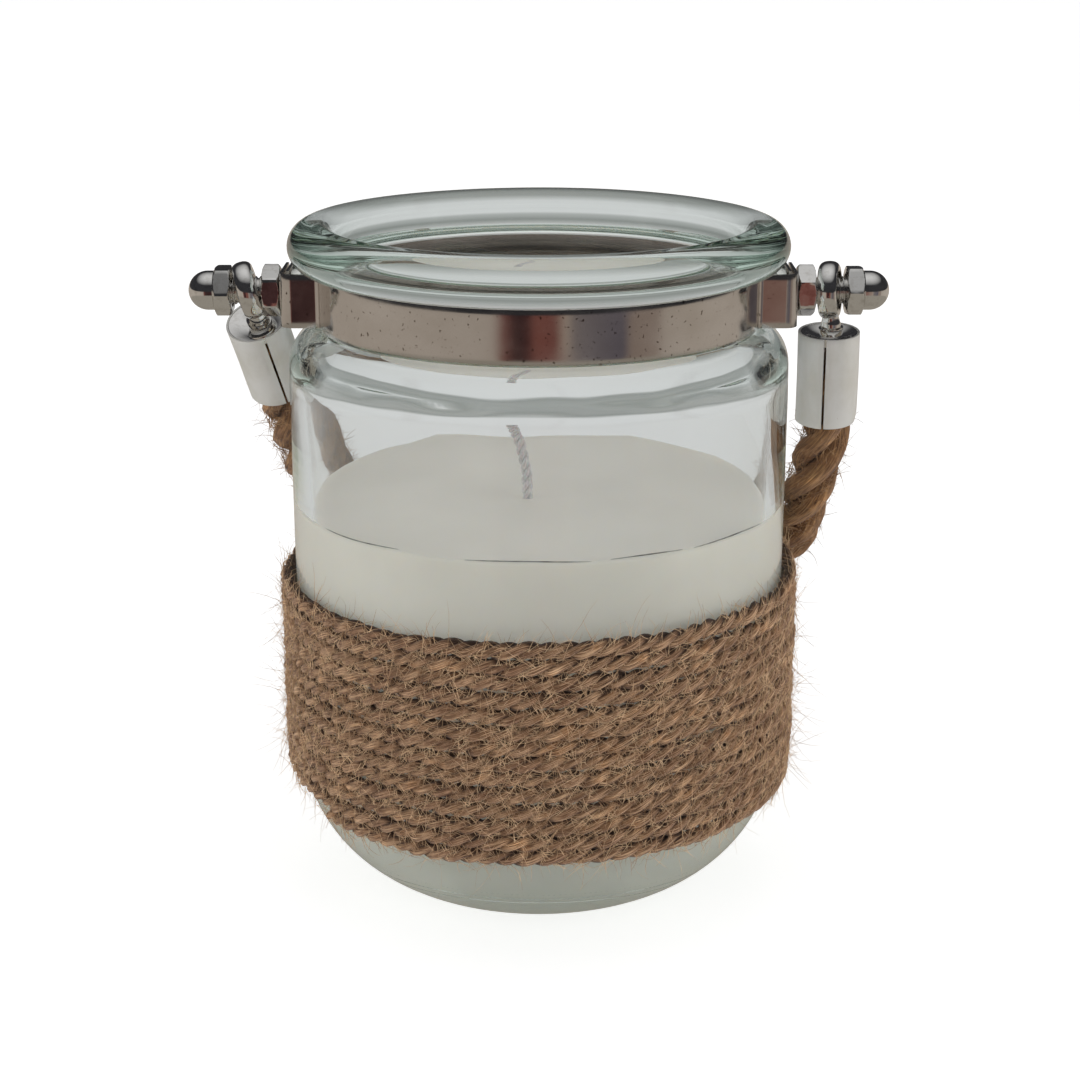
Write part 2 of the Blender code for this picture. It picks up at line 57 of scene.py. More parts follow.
# ---------------------------------------------------------------- places read from the frame
jar_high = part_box("glass_jar")[1]
twine_low, twine_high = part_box("twine_wrap")
wax_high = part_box("candle_wax")[1]
wick_low, wick_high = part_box("wick")
strap_low, strap_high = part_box("front_band")
AXIS_HEIGHT = frame["joints"][0]["pos_m"][2]
BODY_RADIUS = jar_high.x
RIM_TOP = jar_high.z
NUT_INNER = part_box("right_hex_nut")[0].x
NUT_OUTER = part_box("right_hex_nut")[1].x
CAP_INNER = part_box("right_cap_nut")[0].x
CAP_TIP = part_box("right_cap_nut")[1].x
HEAD_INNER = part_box("right_bolt")[0].x
SHANK_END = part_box("right_bolt")[1].x
RING_MIDDLE = (NUT_OUTER + CAP_INNER) / 2

# ---------------------------------------------------------------- the jar's outline
HEEL_RADIUS = 25.5 * MM
TOE_RADIUS = 6.0 * MM
TOE_ANGLE = math.radians(20.0)
FOOT_WIDTH = 4.5 * MM
FOOT_RECESS = 1.8 * MM
SHOULDER_TOP = 101.0 * MM
SHOULDER_BASE = 94.5 * MM
NECK_RADIUS = 37.3 * MM
RIM_BASE = 110.9 * MM
RIM_RADIUS = 43.25 * MM
MOUTH_RADIUS = 35.0 * MM
BORE_TOP_RADIUS = 41.2 * MM
CAVITY_RADIUS = 39.6 * MM
CAVITY_HEEL = 20.0 * MM
LIP = 2.6 * MM
FLOOR = 7.5 * MM

# ---------------------------------------------------------------- wax and floor
# Spans where thin dark lines of painted shade stand for the gaps between wax and glass, in degrees round
# from the front
GAP_SHADE_SPANS = ((-58.0, -33.0), (-17.0, 12.0), (16.0, 34.0), (37.0, 62.0))
WAX_PAINTED_GLOW = 0.075
FLOOR_GLOW = 0.55

# ---------------------------------------------------------------- strap and hardware
STRAP_THICKNESS = 0.6 * MM
EAR_HALF_WIDTH = 7.0 * MM
EAR_ROUND = 2.0 * MM
EAR_CREASE = 1.2 * MM
FRONT_TAIL = 5.3 * MM
REAR_TAIL = 4.0 * MM
NUT_FLATS = 8.0 * MM
BORE = 2.6 * MM
CAP_HEX_HEIGHT = 2.9 * MM
DOME_RADIUS = 3.4 * MM
HEAD_RADIUS = 4.2 * MM
HEAD_HEIGHT = 2.9 * MM
THREAD_TOP = 2.45 * MM
THREAD_DEPTH = 0.4 * MM
THREAD_PITCH = 0.8 * MM
RING_MIDDLE_RADIUS = 3.95 * MM
RING_HALF_THICKNESS = 1.12 * MM
RING_HALF_WIDTH = 1.75 * MM
PLATE_DISTANCE = 8.3 * MM
SLEEVE_TOP = 7.4 * MM
SLEEVE_LENGTH = 16.5 * MM
SLEEVE_RADIUS = 5.4 * MM
SLEEVE_WALL = 0.45 * MM
SEAM_HALF_ANGLE = math.radians(2.2)
LEAN_BACK = {"left": math.radians(33.0), "right": math.radians(6.5)}
LEAN_IN = {"left": math.radians(9.0), "right": math.radians(-1.0)}
CAP_SHIFT = {"left": 0.6 * MM, "right": 0.2 * MM}
RING_LEAN = {"left": math.radians(9.0), "right": math.radians(-5.0)}
RING_TURN = {"left": math.radians(13.0), "right": math.radians(-14.0)}
SEAM_TURN = {"left": math.radians(22.0), "right": math.radians(-14.0)}
SIDES = {"left": -1.0, "right": 1.0}

# ---------------------------------------------------------------- rope and twine
ROPE_DIAMETER = 9.2 * MM
ROPE_LENGTH = 0.210
ROPE_STRANDS = 3
ROPE_LAY = 27.0 * MM
ROPE_ROUTE = [
    (48.6 * MM, 9.5 * MM, 66.5 * MM),
    (46.6 * MM, 24.0 * MM, 53.5 * MM),
    (34.0 * MM, 39.5 * MM, 46.5 * MM),
    (18.0 * MM, 48.9 * MM, 43.5 * MM),
    (0.0 * MM, 52.2 * MM, 43.5 * MM),
    (-18.0 * MM, 49.2 * MM, 46.0 * MM),
    (-32.5 * MM, 42.0 * MM, 52.0 * MM),
    (-42.3 * MM, 31.0 * MM, 63.0 * MM),
]
TWINE_ROWS = 14
TWINE_PLIES = 3
TWINE_LAY = 9.5 * MM
TWINE_FLATTEN = 0.86
TWINE_START = math.radians(216.0)
TWINE_STEP = 0.85 * MM
ROPE_FIBRES = 5000
TWINE_SHORT_FIBRES = 5000
TWINE_LONG_FIBRES = 3200

random = np.random.default_rng(7)


# ================================================================ material building blocks
class Nodes:
    """Short ways to add and join the nodes of a tree."""

    def add(self, kind, **values):
        node = self.tree.nodes.new("ShaderNode" + kind)
        for key, value in values.items():
            if hasattr(node, key):
                setattr(node, key, value)
            else:
                node.inputs[key].default_value = value
        return node

    def join(self, source, target):
        self.tree.links.new(source, target)

    def ramp(self, factor, stops):
        """A colour ramp from a list of (position, colour)."""
        made = self.add("ValToRGB")
        ends = made.color_ramp.elements
        while len(ends) < len(stops):
            ends.new(0.5)
        for end, (place, color) in zip(ends, stops):
            end.position = place
            end.color = (*color, 1.0)
        self.join(factor, made.inputs["Fac"])
        return made.outputs["Color"]

    def mix(self, factor, first, second, blend="MIX"):
        """Two colours mixed; a plain tuple is a fixed colour."""
        made = self.add("Mix", data_type="RGBA", blend_type=blend)
        for index, value in ((0, factor), (6, first), (7, second)):
            if isinstance(value, tuple):
                made.inputs[index].default_value = (*value, 1.0)
            elif isinstance(value, float):
                made.inputs[index].default_value = value
            else:
                self.join(value, made.inputs[index])
        return made.outputs[2]


class Recipe(Nodes):
    """A material under construction, with its Principled shader."""

    def __init__(self, name, color=(0.8, 0.8, 0.8), roughness=0.5, metallic=0.0):
        self.material = bpy.data.materials.new(name)
        self.material.use_nodes = True
        self.tree = self.material.node_tree
        self.shader = self.tree.nodes["Principled BSDF"]
        self.output = self.tree.nodes["Material Output"]
        self.set("Base Color", (*color, 1.0))
        self.set("Roughness", roughness)
        self.set("Metallic", metallic)

    def set(self, socket, value):
        self.shader.inputs[socket].default_value = value

    def coordinates(self, kind, scale):
        """Object or UV coordinates, scaled on each axis."""
        place = self.add("TexCoord")
        mapping = self.add("Mapping")
        mapping.inputs["Scale"].default_value = scale
        self.join(place.outputs[kind], mapping.inputs["Vector"])
        return mapping.outputs["Vector"]

    def noise(self, vector, detail=3.0, rough=0.55, distortion=0.0):
        """Noise at the scale of its coordinates."""
        made = self.add("TexNoise", Scale=1.0, Detail=detail, Roughness=rough, Distortion=distortion)
        self.join(vector, made.inputs["Vector"])
        return made.outputs["Fac"]

    def span(self, factor, low, high, start=0.0, end=1.0):
        """A factor from start to end carried over to low to high."""
        made = self.add("MapRange")
        made.inputs["From Min"].default_value = start
        made.inputs["From Max"].default_value = end
        made.inputs["To Min"].default_value = low
        made.inputs["To Max"].default_value = high
        self.join(factor, made.inputs["Value"])
        return made.outputs["Result"]

    def bump(self, height, distance, strength=1.0):
        """Surface relief of a given depth."""
        made = self.add("Bump")
        made.inputs["Strength"].default_value = strength
        made.inputs["Distance"].default_value = distance
        self.join(height, made.inputs["Height"])
        last = self.shader.inputs["Normal"]
        if last.links:
            self.join(last.links[0].from_socket, made.inputs["Normal"])
        self.join(made.outputs["Normal"], last)


def clear_glass():
    """Pressed clear glass, faintly green where it is thick, with slow waves in its surface."""
    made = Recipe("clear_glass", (1.0, 1.0, 1.0), 0.0)
    made.set("Transmission Weight", 1.0)
    made.set("IOR", 1.51)
    slow = made.noise(made.coordinates("Object", (55.0, 55.0, 38.0)), 2.0)
    made.bump(slow, 0.2 * MM, 0.3)
    tint = made.add("VolumeAbsorption", Density=16.0)
    tint.inputs["Color"].default_value = (0.5, 0.77, 0.62, 1.0)
    made.join(tint.outputs["Volume"], made.output.inputs["Volume"])
    return made.material


def ivory_wax():
    """Poured wax: faint mottling, a barely uneven skin, and a weak painted glow that stands in for light
    scattered inside.
    """
    made = Recipe("ivory_wax", (0.8, 0.77, 0.7), 0.42)
    cloud = made.noise(made.coordinates("Object", (60.0, 60.0, 60.0)), 4.0)
    color = made.ramp(cloud, [(0.3, (0.74, 0.71, 0.64)), (0.7, (0.80, 0.77, 0.70))])
    made.join(color, made.shader.inputs["Base Color"])
    # Painted glow: the wax gives off a little light of its own, standing in for light scattered inside it.
    made.set("Emission Color", (0.95, 0.92, 0.86, 1.0))
    made.set("Emission Strength", WAX_PAINTED_GLOW)
    made.set("Subsurface Weight", 0.5)
    made.set("Subsurface Radius", (1.0, 0.8, 0.55))
    made.set("Subsurface Scale", 3.0 * MM)
    ripple = made.noise(made.coordinates("Object", (300.0, 300.0, 300.0)), 3.0)
    made.bump(ripple, 0.15 * MM, 0.3)
    made.join(made.span(cloud, 0.36, 0.5), made.shader.inputs["Roughness"])
    return made.material


def wick_cotton():
    """Waxed braided cotton."""
    made = Recipe("wick_cotton", (0.66, 0.64, 0.64), 0.8)
    fibre = made.noise(made.coordinates("Object", (4000.0, 4000.0, 900.0)), 3.0)
    color = made.ramp(fibre, [(0.3, (0.50, 0.48, 0.47)), (0.65, (0.76, 0.74, 0.74))])
    made.join(color, made.shader.inputs["Base Color"])
    made.set("Subsurface Weight", 0.2)
    made.set("Subsurface Scale", 1.0 * MM)
    made.bump(fibre, 0.1 * MM, 0.6)
    return made.material


def strap_steel():
    """Polished strip steel with rolling lines, smudges, a few dark specks, and painted shade on its inner
    face towards the glass.
    """
    made = Recipe("polished_strap_steel", (0.6, 0.57, 0.54), 0.14, 1.0)
    cloud = made.noise(made.coordinates("Object", (90.0, 90.0, 140.0)), 4.0)
    specks = made.noise(made.coordinates("Object", (1500.0, 1500.0, 1500.0)), 2.0, 0.5)
    tone = made.ramp(cloud, [(0.3, (0.60, 0.565, 0.53)), (0.7, (0.70, 0.67, 0.64))])
    spot = made.ramp(specks, [(0.27, (0.25, 0.2, 0.17)), (0.34, (1.0, 1.0, 1.0))])
    speckled = made.mix(1.0, tone, spot, "MULTIPLY")
    # Painted shade: the strap's inner face, towards the glass, is darkened; the outer face keeps the plain
    # tone.
    reach = made.add("VectorMath", operation="LENGTH")
    made.join(made.coordinates("Object", (1.0, 1.0, 0.0)), reach.inputs[0])
    ring = NECK_RADIUS + 0.3 * MM + STRAP_THICKNESS / 2
    outer = made.span(reach.outputs["Value"], 0.0, 1.0, ring - 0.1 * MM, ring + 0.1 * MM)
    inner = made.mix(1.0, speckled, (0.3, 0.26, 0.23), "MULTIPLY")
    made.join(made.mix(outer, inner, speckled), made.shader.inputs["Base Color"])
    made.join(made.span(cloud, 0.08, 0.2, 0.3, 0.7), made.shader.inputs["Roughness"])
    rolled = made.noise(made.coordinates("Object", (40.0, 40.0, 3500.0)), 2.0)
    made.bump(rolled, 0.02 * MM, 0.12)
    made.bump(cloud, 0.3 * MM, 0.06)
    return made.material


def bright_chrome():
    """Bright plating with fine handling marks."""
    made = Recipe("bright_chrome", (0.8, 0.79, 0.77), 0.07, 1.0)
    marks = made.noise(made.coordinates("Object", (700.0, 900.0, 700.0)), 5.0, 0.6)
    made.join(made.span(marks, 0.04, 0.16, 0.35, 0.75), made.shader.inputs["Roughness"])
    color = made.ramp(marks, [(0.25, (0.66, 0.64, 0.61)), (0.5, (0.82, 0.81, 0.79))])
    made.join(color, made.shader.inputs["Base Color"])
    made.bump(marks, 0.05 * MM, 0.1)
    return made.material


def satin_steel():
    """Satin plated sheet with soft handling marks and faint rolling lines."""
    made = Recipe("satin_steel", (0.7, 0.69, 0.66), 0.35, 0.5)
    marks = made.noise(made.coordinates("Object", (160.0, 160.0, 110.0)), 5.0, 0.6)
    color = made.ramp(marks, [(0.25, (0.60, 0.585, 0.53)), (0.6, (0.72, 0.715, 0.69))])
    made.join(color, made.shader.inputs["Base Color"])
    made.join(made.span(marks, 0.28, 0.42, 0.3, 0.7), made.shader.inputs["Roughness"])
    lines = made.noise(made.coordinates("Object", (2500.0, 2500.0, 150.0)), 2.0)
    made.bump(lines, 0.02 * MM, 0.2)
    made.bump(marks, 0.2 * MM, 0.08)
    return made.material


def jute(name, dark, middle, light, fibre_width):
    """Twisted jute: fine streaks along each ply, uneven tone, and deep shade between the plies."""
    made = Recipe(name, middle, 0.85)
    streaks = made.noise(made.coordinates("UV", (260.0, 1.0 / fibre_width, 1.0)), 4.0, 0.65, 0.6)
    patches = made.noise(made.coordinates("Object", (170.0, 170.0, 260.0)), 3.0)
    color = made.ramp(streaks, [(0.34, dark), (0.48, middle), (0.64, light)])
    tint = made.ramp(patches, [(0.3, (0.7, 0.62, 0.6)), (0.55, (1.0, 1.0, 1.0)), (0.75, (1.4, 1.28, 1.1))])
    proud = made.add("Attribute", attribute_name="proud")
    depths = [(0.3, (0.2, 0.16, 0.14)), (0.62, (0.8, 0.77, 0.75)), (0.9, (1.0, 1.0, 1.0))]
    shade = made.ramp(proud.outputs["Fac"], depths)
    tinted = made.mix(1.0, color, tint, "MULTIPLY")
    made.join(made.mix(1.0, tinted, shade, "MULTIPLY"), made.shader.inputs["Base Color"])
    made.set("Sheen Weight", 0.1)
    made.set("Sheen Roughness", 0.5)
    made.bump(streaks, 0.28 * MM, 0.9)
    return made.material


def loose_fibre(name, low, high):
    """Single jute fibres, from straw to brown."""
    made = Recipe(name, high, 0.7)
    tone = made.noise(made.coordinates("Object", (420.0, 420.0, 420.0)), 2.0)
    made.join(made.ramp(tone, [(0.35, low), (0.65, high)]), made.shader.inputs["Base Color"])
    made.set("Sheen Weight", 0.1)
    return made.material


def floor_paper():
    """Pale matt studio floor with a glow of its own, which keeps it white."""
    made = Recipe("floor_paper", (0.9, 0.9, 0.9), 0.85)
    grain = made.noise(made.coordinates("Object", (400.0, 400.0, 400.0)), 2.0)
    color = made.ramp(grain, [(0.3, (0.9, 0.9, 0.9)), (0.7, (0.92, 0.92, 0.92))])
    made.join(color, made.shader.inputs["Base Color"])
    made.set("Emission Color", (1.0, 1.0, 1.0, 1.0))
    made.set("Emission Strength", FLOOR_GLOW)
    return made.material


# ================================================================ geometry building blocks
def add_mesh(name, points, faces, surface, uvs=None, sharp=None, fix_normals=True, proud=None):
    """A mesh object from points and faces, smooth shaded, with sharp edges past an angle.

    proud says how far each point stands out of its strand's middle, for the shade between strands."""
    mesh = bpy.data.meshes.new(name)
    mesh.from_pydata(np.asarray(points).tolist(), [], faces)
    if uvs is not None:
        layer = mesh.uv_layers.new(name="UVMap")
        corner = np.empty(len(mesh.loops), np.int32)
        mesh.loops.foreach_get("vertex_index", corner)
        layer.data.foreach_set("uv", np.asarray(uvs, np.float32)[corner].ravel())
    if proud is not None:
        depth = mesh.attributes.new("proud", "FLOAT", "POINT")
        depth.data.foreach_set("value", np.asarray(proud, np.float32))
    if fix_normals:
        shape = bmesh.new()
        shape.from_mesh(mesh)
        bmesh.ops.remove_doubles(shape, verts=shape.verts, dist=1e-7)
        bmesh.ops.recalc_face_normals(shape, faces=shape.faces)
        shape.to_mesh(mesh)
        shape.free()
    mesh.shade_smooth()
    if sharp is not None:
        mesh.set_sharp_from_angle(angle=math.radians(sharp))
    mesh.materials.append(surface)
    item = bpy.data.objects.new(name, mesh)
    bpy.context.scene.collection.objects.link(item)
    return item


def grid_faces(rows, columns, wrap_rows=False, wrap_columns=True, first=0):
    """Quads over a grid of points stored row by row."""
    faces = []
    for row in range(rows if wrap_rows else rows - 1):
        below = (row + 1) % rows
        for column in range(columns if wrap_columns else columns - 1):
            beside = (column + 1) % columns
            corner = (row * columns + column, row * columns + beside)
            far = (below * columns + beside, below * columns + column)
            faces.append(tuple(first + index for index in corner + far))
    return faces


def arc(center, radius, start, end, count):
    """Points (across, up) along an arc, with angles in radians from the across axis."""
    angles = [start + (end - start) * step / count for step in range(count + 1)]
    return [(center[0] + radius * math.cos(a), center[1] + radius * math.sin(a)) for a in angles]


def lathe(name, profile, steps, surface, wobble=None, place=None, sharp=None, closed=False):
    """A turned piece. wobble(across, up, angle) returns a small change of (across, up)."""
    points = []
    for across, up in profile:
        for step in range(steps):
            angle = 2 * math.pi * step / steps
            more, lift = wobble(across, up, angle) if wobble else (0.0, 0.0)
            reach = across + more
            points.append((reach * math.cos(angle), reach * math.sin(angle), up + lift))
    if place is not None:
        points = [tuple(place @ Vector(point)) for point in points]
    faces = grid_faces(len(profile), steps, wrap_rows=closed)
    return add_mesh(name, points, faces, surface, sharp=sharp)


def waves(seed, count, low, high, angle, up=0.0, slope=0.0):
    """A smooth closed function of an angle, from -1 to 1, that drifts with height."""
    total = 0.0
    rule = np.random.default_rng(seed)
    for _ in range(count):
        turns = int(rule.integers(low, high))
        total += math.sin(turns * angle + rule.uniform(0, 2 * math.pi) + slope * up * rule.uniform(-1, 1))
    return total / count


def swept_strip(name, path, section, surface, place=None, bend=None, sharp=40.0):
    """A strip swept along a path seen from above. section holds (sideways, up) offsets.

    bend changes a point's place afterwards."""
    path = np.asarray(path, float)
    ahead = np.gradient(path, axis=0)
    ahead /= np.linalg.norm(ahead, axis=1)[:, None]
    side = np.stack([ahead[:, 1], -ahead[:, 0]], axis=1)
    points = []
    for spot, normal in zip(path, side):
        for across, up in section:
            points.append(Vector((spot[0] + normal[0] * across, spot[1] + normal[1] * across, up)))
    if bend:
        points = [bend(point) for point in points]
    if place is not None:
        points = [place @ point for point in points]
    count = len(section)
    faces = grid_faces(len(path), count)
    faces.append(tuple(range(count)))
    faces.append(tuple((len(path) - 1) * count + index for index in reversed(range(count))))
    return add_mesh(name, points, faces, surface, sharp=sharp)


def strip_section(thickness, low, high, rounding, divisions):
    """The outline of a sheet's cut edge: a tall thin rectangle with rounded corners."""
    half = thickness / 2
    rows = np.linspace(low + rounding, high - rounding, divisions + 1)
    inner = half - rounding
    right = [(half, up) for up in rows]
    left = [(-half, up) for up in rows[::-1]]
    soft = rounding * 0.3
    top = [(half - soft, high - soft), (inner, high), (-inner, high), (-half + soft, high - soft)]
    bottom = [(-half + soft, low + soft), (-inner, low), (inner, low), (half - soft, low + soft)]
    return right + top + left + bottom


def one_body(name, pieces):
    """Joins overlapping closed pieces into one clean body by Boolean union."""
    main = pieces[0]
    for other in pieces[1:]:
        join = main.modifiers.new("Union", "BOOLEAN")
        join.operation = "UNION"
        join.object = other
    bpy.context.view_layer.update()
    ready = main.evaluated_get(bpy.context.evaluated_depsgraph_get())
    mesh = bpy.data.meshes.new_from_object(ready)
    surface = main.data.materials[0]
    for piece in pieces:
        bpy.data.objects.remove(piece, do_unlink=True)
    mesh.materials.clear()
    mesh.materials.append(surface)
    mesh.shade_smooth()
    mesh.set_sharp_from_angle(angle=math.radians(38.0))
    item = bpy.data.objects.new(name, mesh)
    bpy.context.scene.collection.objects.link(item)
    return item


def finish_piece(item, body, slot_name, *nodes):
    """Puts a piece on its body and lets it stand for CAD nodes; slot_name is not used."""
    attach(item, body)
    if nodes:
        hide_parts(*nodes)
    return item


# ================================================================ camera, floor and light
def make_camera():
    """The camera: level left to right, above the rim and tilted down at the jar."""
    data = bpy.data.cameras.new("camera")
    data.sensor_width = 36.0
    data.lens = 69.78
    data.clip_start = 0.01
    data.clip_end = 50.0
    camera = bpy.data.objects.new("camera", data)
    camera.location = (0.0002, -0.360, 0.1731)
    camera.rotation_euler = (math.pi / 2 - 0.302, 0.0, 0.0)
    bpy.context.scene.collection.objects.link(camera)
    bpy.context.scene.camera = camera


def make_floor():
    """A wide pale floor. Metal and glass mirror the room's own lower half instead of it."""
    size = 8.0
    low = -0.05 * MM
    points = [(-size, -size, low), (size, -size, low), (size, size, low), (-size, size, low)]
    floor = add_mesh("floor", points, [(0, 1, 2, 3)], floor_paper(), fix_normals=False)
    floor.visible_glossy = False
    floor.visible_transmission = False


def make_light(name, place, target, size, power):
    """A soft rectangular studio light, hidden from mirrored and refracted rays."""
    data = bpy.data.lights.new(name, "AREA")
    data.shape = "RECTANGLE"
    data.size, data.size_y = size
    data.energy = power
    light = bpy.data.objects.new(name, data)
    light.location = place
    away = Vector(place) - Vector(target)
    light.rotation_euler = away.to_track_quat("Z", "Y").to_euler()
    light.visible_glossy = False
    light.visible_transmission = False
    bpy.context.scene.collection.objects.link(light)


class Room(Nodes):
    """The studio world under construction."""

    def __init__(self):
        world = bpy.data.worlds.new("studio")
        bpy.context.scene.world = world
        world.use_nodes = True
        self.tree = world.node_tree
        self.tree.nodes.clear()

    def math(self, operation, first, second=0.0):
        made = self.add("Math")
        made.operation = operation
        for socket, value in zip(made.inputs, (first, second)):
            if isinstance(value, float):
                socket.default_value = value
            else:
                self.join(value, socket)
        return made.outputs["Value"]

    def background(self, color, strength):
        made = self.add("Background")
        made.inputs["Strength"].default_value = strength
        if isinstance(color, tuple):
            made.inputs["Color"].default_value = (*color, 1.0)
        else:
            self.join(color, made.inputs["Color"])
        return made.outputs["Background"]

    def choose(self, factor, first, second):
        made = self.add("MixShader")
        self.join(factor, made.inputs["Fac"])
        self.join(first, made.inputs[1])
        self.join(second, made.inputs[2])
        return made.outputs["Shader"]


def make_world():
    """A pale room, dimmer in front and overhead. Metal mirrors a darker room with flags in front,
    and glass refracts a third, greyer one."""
    room = Room()
    place = room.add("TexCoord")
    split = room.add("SeparateXYZ")
    room.join(place.outputs["Generated"], split.inputs["Vector"])
    height = room.math("MULTIPLY_ADD", split.outputs["Z"], 0.5)
    height.node.inputs[2].default_value = 0.5
    turn = room.math("ARCTAN2", split.outputs["X"], room.math("MULTIPLY", split.outputs["Y"], -1.0))
    share = room.math("MULTIPLY_ADD", turn, 1.0 / math.pi)
    share.node.inputs[2].default_value = 0.5

    flags = [
        (0.0, (0.43, 0.385, 0.335)),
        (0.375, (0.39, 0.345, 0.30)),
        (0.40, (0.16, 0.055, 0.045)),
        (0.435, (0.035, 0.02, 0.02)),
        (0.47, (0.05, 0.02, 0.02)),
        (0.49, (0.19, 0.075, 0.06)),
        (0.545, (0.16, 0.06, 0.05)),
        (0.575, (0.36, 0.30, 0.25)),
        (0.60, (0.17, 0.15, 0.15)),
        (0.74, (0.11, 0.10, 0.12)),
        (0.765, (0.25, 0.20, 0.17)),
        (0.845, (0.26, 0.21, 0.18)),
        (0.87, (0.39, 0.345, 0.30)),
        (1.0, (0.43, 0.385, 0.335)),
    ]
    low = (0.30, 0.275, 0.235)
    dark = (0.03, 0.03, 0.033)
    walls = [
        (0.0, low),
        (0.30, low),
        (0.33, (0.0, 0.0, 0.0)),
        (0.49, (0.0, 0.0, 0.0)),
        (0.51, dark),
        (0.80, dark),
        (0.88, (0.30, 0.30, 0.30)),
        (1.0, (0.65, 0.65, 0.65)),
    ]
    black = (0.0, 0.0, 0.0)
    white = (1.0, 1.0, 1.0)
    front = room.ramp(height, [(0.30, black), (0.33, white), (0.49, white), (0.51, black)])
    flag_light = room.mix(1.0, front, room.ramp(share, flags), "MULTIPLY")
    total = room.mix(1.0, flag_light, room.ramp(height, walls), "ADD")

    through = [
        (0.0, (0.14, 0.15, 0.14)),
        (0.22, (0.30, 0.31, 0.30)),
        (0.31, (0.64, 0.645, 0.65)),
        (0.40, (0.65, 0.655, 0.66)),
        (0.47, (0.66, 0.665, 0.67)),
        (0.50, (0.42, 0.43, 0.425)),
        (0.58, (0.26, 0.275, 0.265)),
        (0.75, (0.50, 0.50, 0.50)),
        (1.0, (0.8, 0.8, 0.8)),
    ]
    wall_light = [
        (0.26, white),
        (0.42, (0.74, 0.74, 0.74)),
        (0.58, (0.74, 0.74, 0.74)),
        (0.74, white),
    ]
    overhead = [(0.62, white), (0.84, (0.4, 0.4, 0.4))]
    softened = room.mix(1.0, room.ramp(share, wall_light), room.ramp(height, overhead), "MULTIPLY")
    even = room.background(softened, 1.0)
    mirrored = room.background(total, 1.0)
    seen_through = room.background(room.ramp(height, through), 1.0)
    rays = room.add("LightPath")
    gloss = room.choose(rays.outputs["Is Transmission Ray"], mirrored, seen_through)
    lit = room.choose(rays.outputs["Is Glossy Ray"], even, gloss)
    backdrop = room.background(white, 1.0)
    output = room.add("OutputWorld")
    room.join(room.choose(rays.outputs["Is Camera Ray"], lit, backdrop), output.inputs["Surface"])


def make_stage():
    """Camera, floor, lights and room."""
    make_camera()
    make_floor()
    make_world()
    jar_middle = (0.0, 0.0, 0.06)
    make_light("key_light", (-0.9, -0.3, 0.22), jar_middle, (0.4, 0.3), 2.4)
    make_light("fill_light", (0.9, -0.3, 0.22), jar_middle, (0.4, 0.3), 2.4)
    make_light("back_light", (0.1, 0.7, 0.8), jar_middle, (0.7, 0.4), 0.8)
    bpy.context.scene.view_settings.view_transform = "Standard"
    bpy.context.scene.cycles.glossy_bounces = 12


# ================================================================ frames of the hardware
def bolt_frame(side, reach):
    """A frame whose Z points outward along the bolt on one side."""
    turn = Matrix.Rotation(SIDES[side] * math.pi / 2, 4, "Y")
    return Matrix.Translation((SIDES[side] * reach, 0.0, AXIS_HEIGHT)) @ turn


def leaning_frame(side, shift, lean):
    """A frame with its origin near the bolt's axis and its -Z towards the hanging rope cap."""
    place = Matrix.Translation((SIDES[side] * (RING_MIDDLE + shift), 0.0, AXIS_HEIGHT))
    back = Matrix.Rotation(LEAN_BACK[side], 4, "X")
    inward = Matrix.Rotation(SIDES[side] * lean, 4, "Y")
    return place @ back @ inward


def cap_frame(side):
    """The frame of a rope cap, whose axis is its Z."""
    return leaning_frame(side, CAP_SHIFT[side], LEAN_IN[side])


def ring_frame(side):
    """The frame of an eye ring: its middle is the origin and its shank runs along -Z."""
    return leaning_frame(side, 0.0, RING_LEAN[side]) @ Matrix.Rotation(RING_TURN[side], 4, "Z")


# ================================================================ rope handle
def smooth_route(points, count):
    """Evenly spaced points on a smooth curve through a list of points."""
    padded = [2 * points[0] - points[1]] + points + [2 * points[-1] - points[-2]]
    fine = []
    for index in range(len(points) - 1):
        before, start, end, after = padded[index : index + 4]
        for step in range(24):
            share = step / 24
            bend = 2 * start + (end - before) * share
            bend += (2 * before - 5 * start + 4 * end - after) * share**2
            bend += (3 * start - before - 3 * end + after) * share**3
            fine.append(bend / 2)
    fine.append(points[-1])
    fine = np.array([tuple(point) for point in fine])
    lengths = np.concatenate([[0.0], np.cumsum(np.linalg.norm(np.diff(fine, axis=0), axis=1))])
    even = np.linspace(0.0, lengths[-1], count)
    return np.stack([np.interp(even, lengths, fine[:, axis]) for axis in range(3)], axis=1)


def rope_route():
    """The rope's route from inside the right-hand cap, behind the jar, into the left-hand cap."""
    start = -PLATE_DISTANCE - 1.1 * MM
    mouth = -SLEEVE_TOP - SLEEVE_LENGTH
    depths = (start, (start + mouth) / 2, mouth - 2.0 * MM)
    route = [cap_frame("right") @ Vector((0.0, 0.0, depth)) for depth in depths]
    route += [Vector(point) for point in ROPE_ROUTE]
    route += [cap_frame("left") @ Vector((0.0, 0.0, depth)) for depth in reversed(depths)]
    return route


def carried_frames(points):
    """Two cross directions at each point of a path, carried along without twist."""
    ahead = np.gradient(points, axis=0)
    ahead /= np.linalg.norm(ahead, axis=1)[:, None]
    first = np.cross(ahead[0], [0.0, 0.0, 1.0])
    if np.linalg.norm(first) < 0.1:
        first = np.cross(ahead[0], [0.0, 1.0, 0.0])
    normals = [first / np.linalg.norm(first)]
    for direction in ahead[1:]:
        carried = normals[-1] - direction * np.dot(normals[-1], direction)
        normals.append(carried / np.linalg.norm(carried))
    normals = np.array(normals)
    return normals, np.cross(ahead, normals)


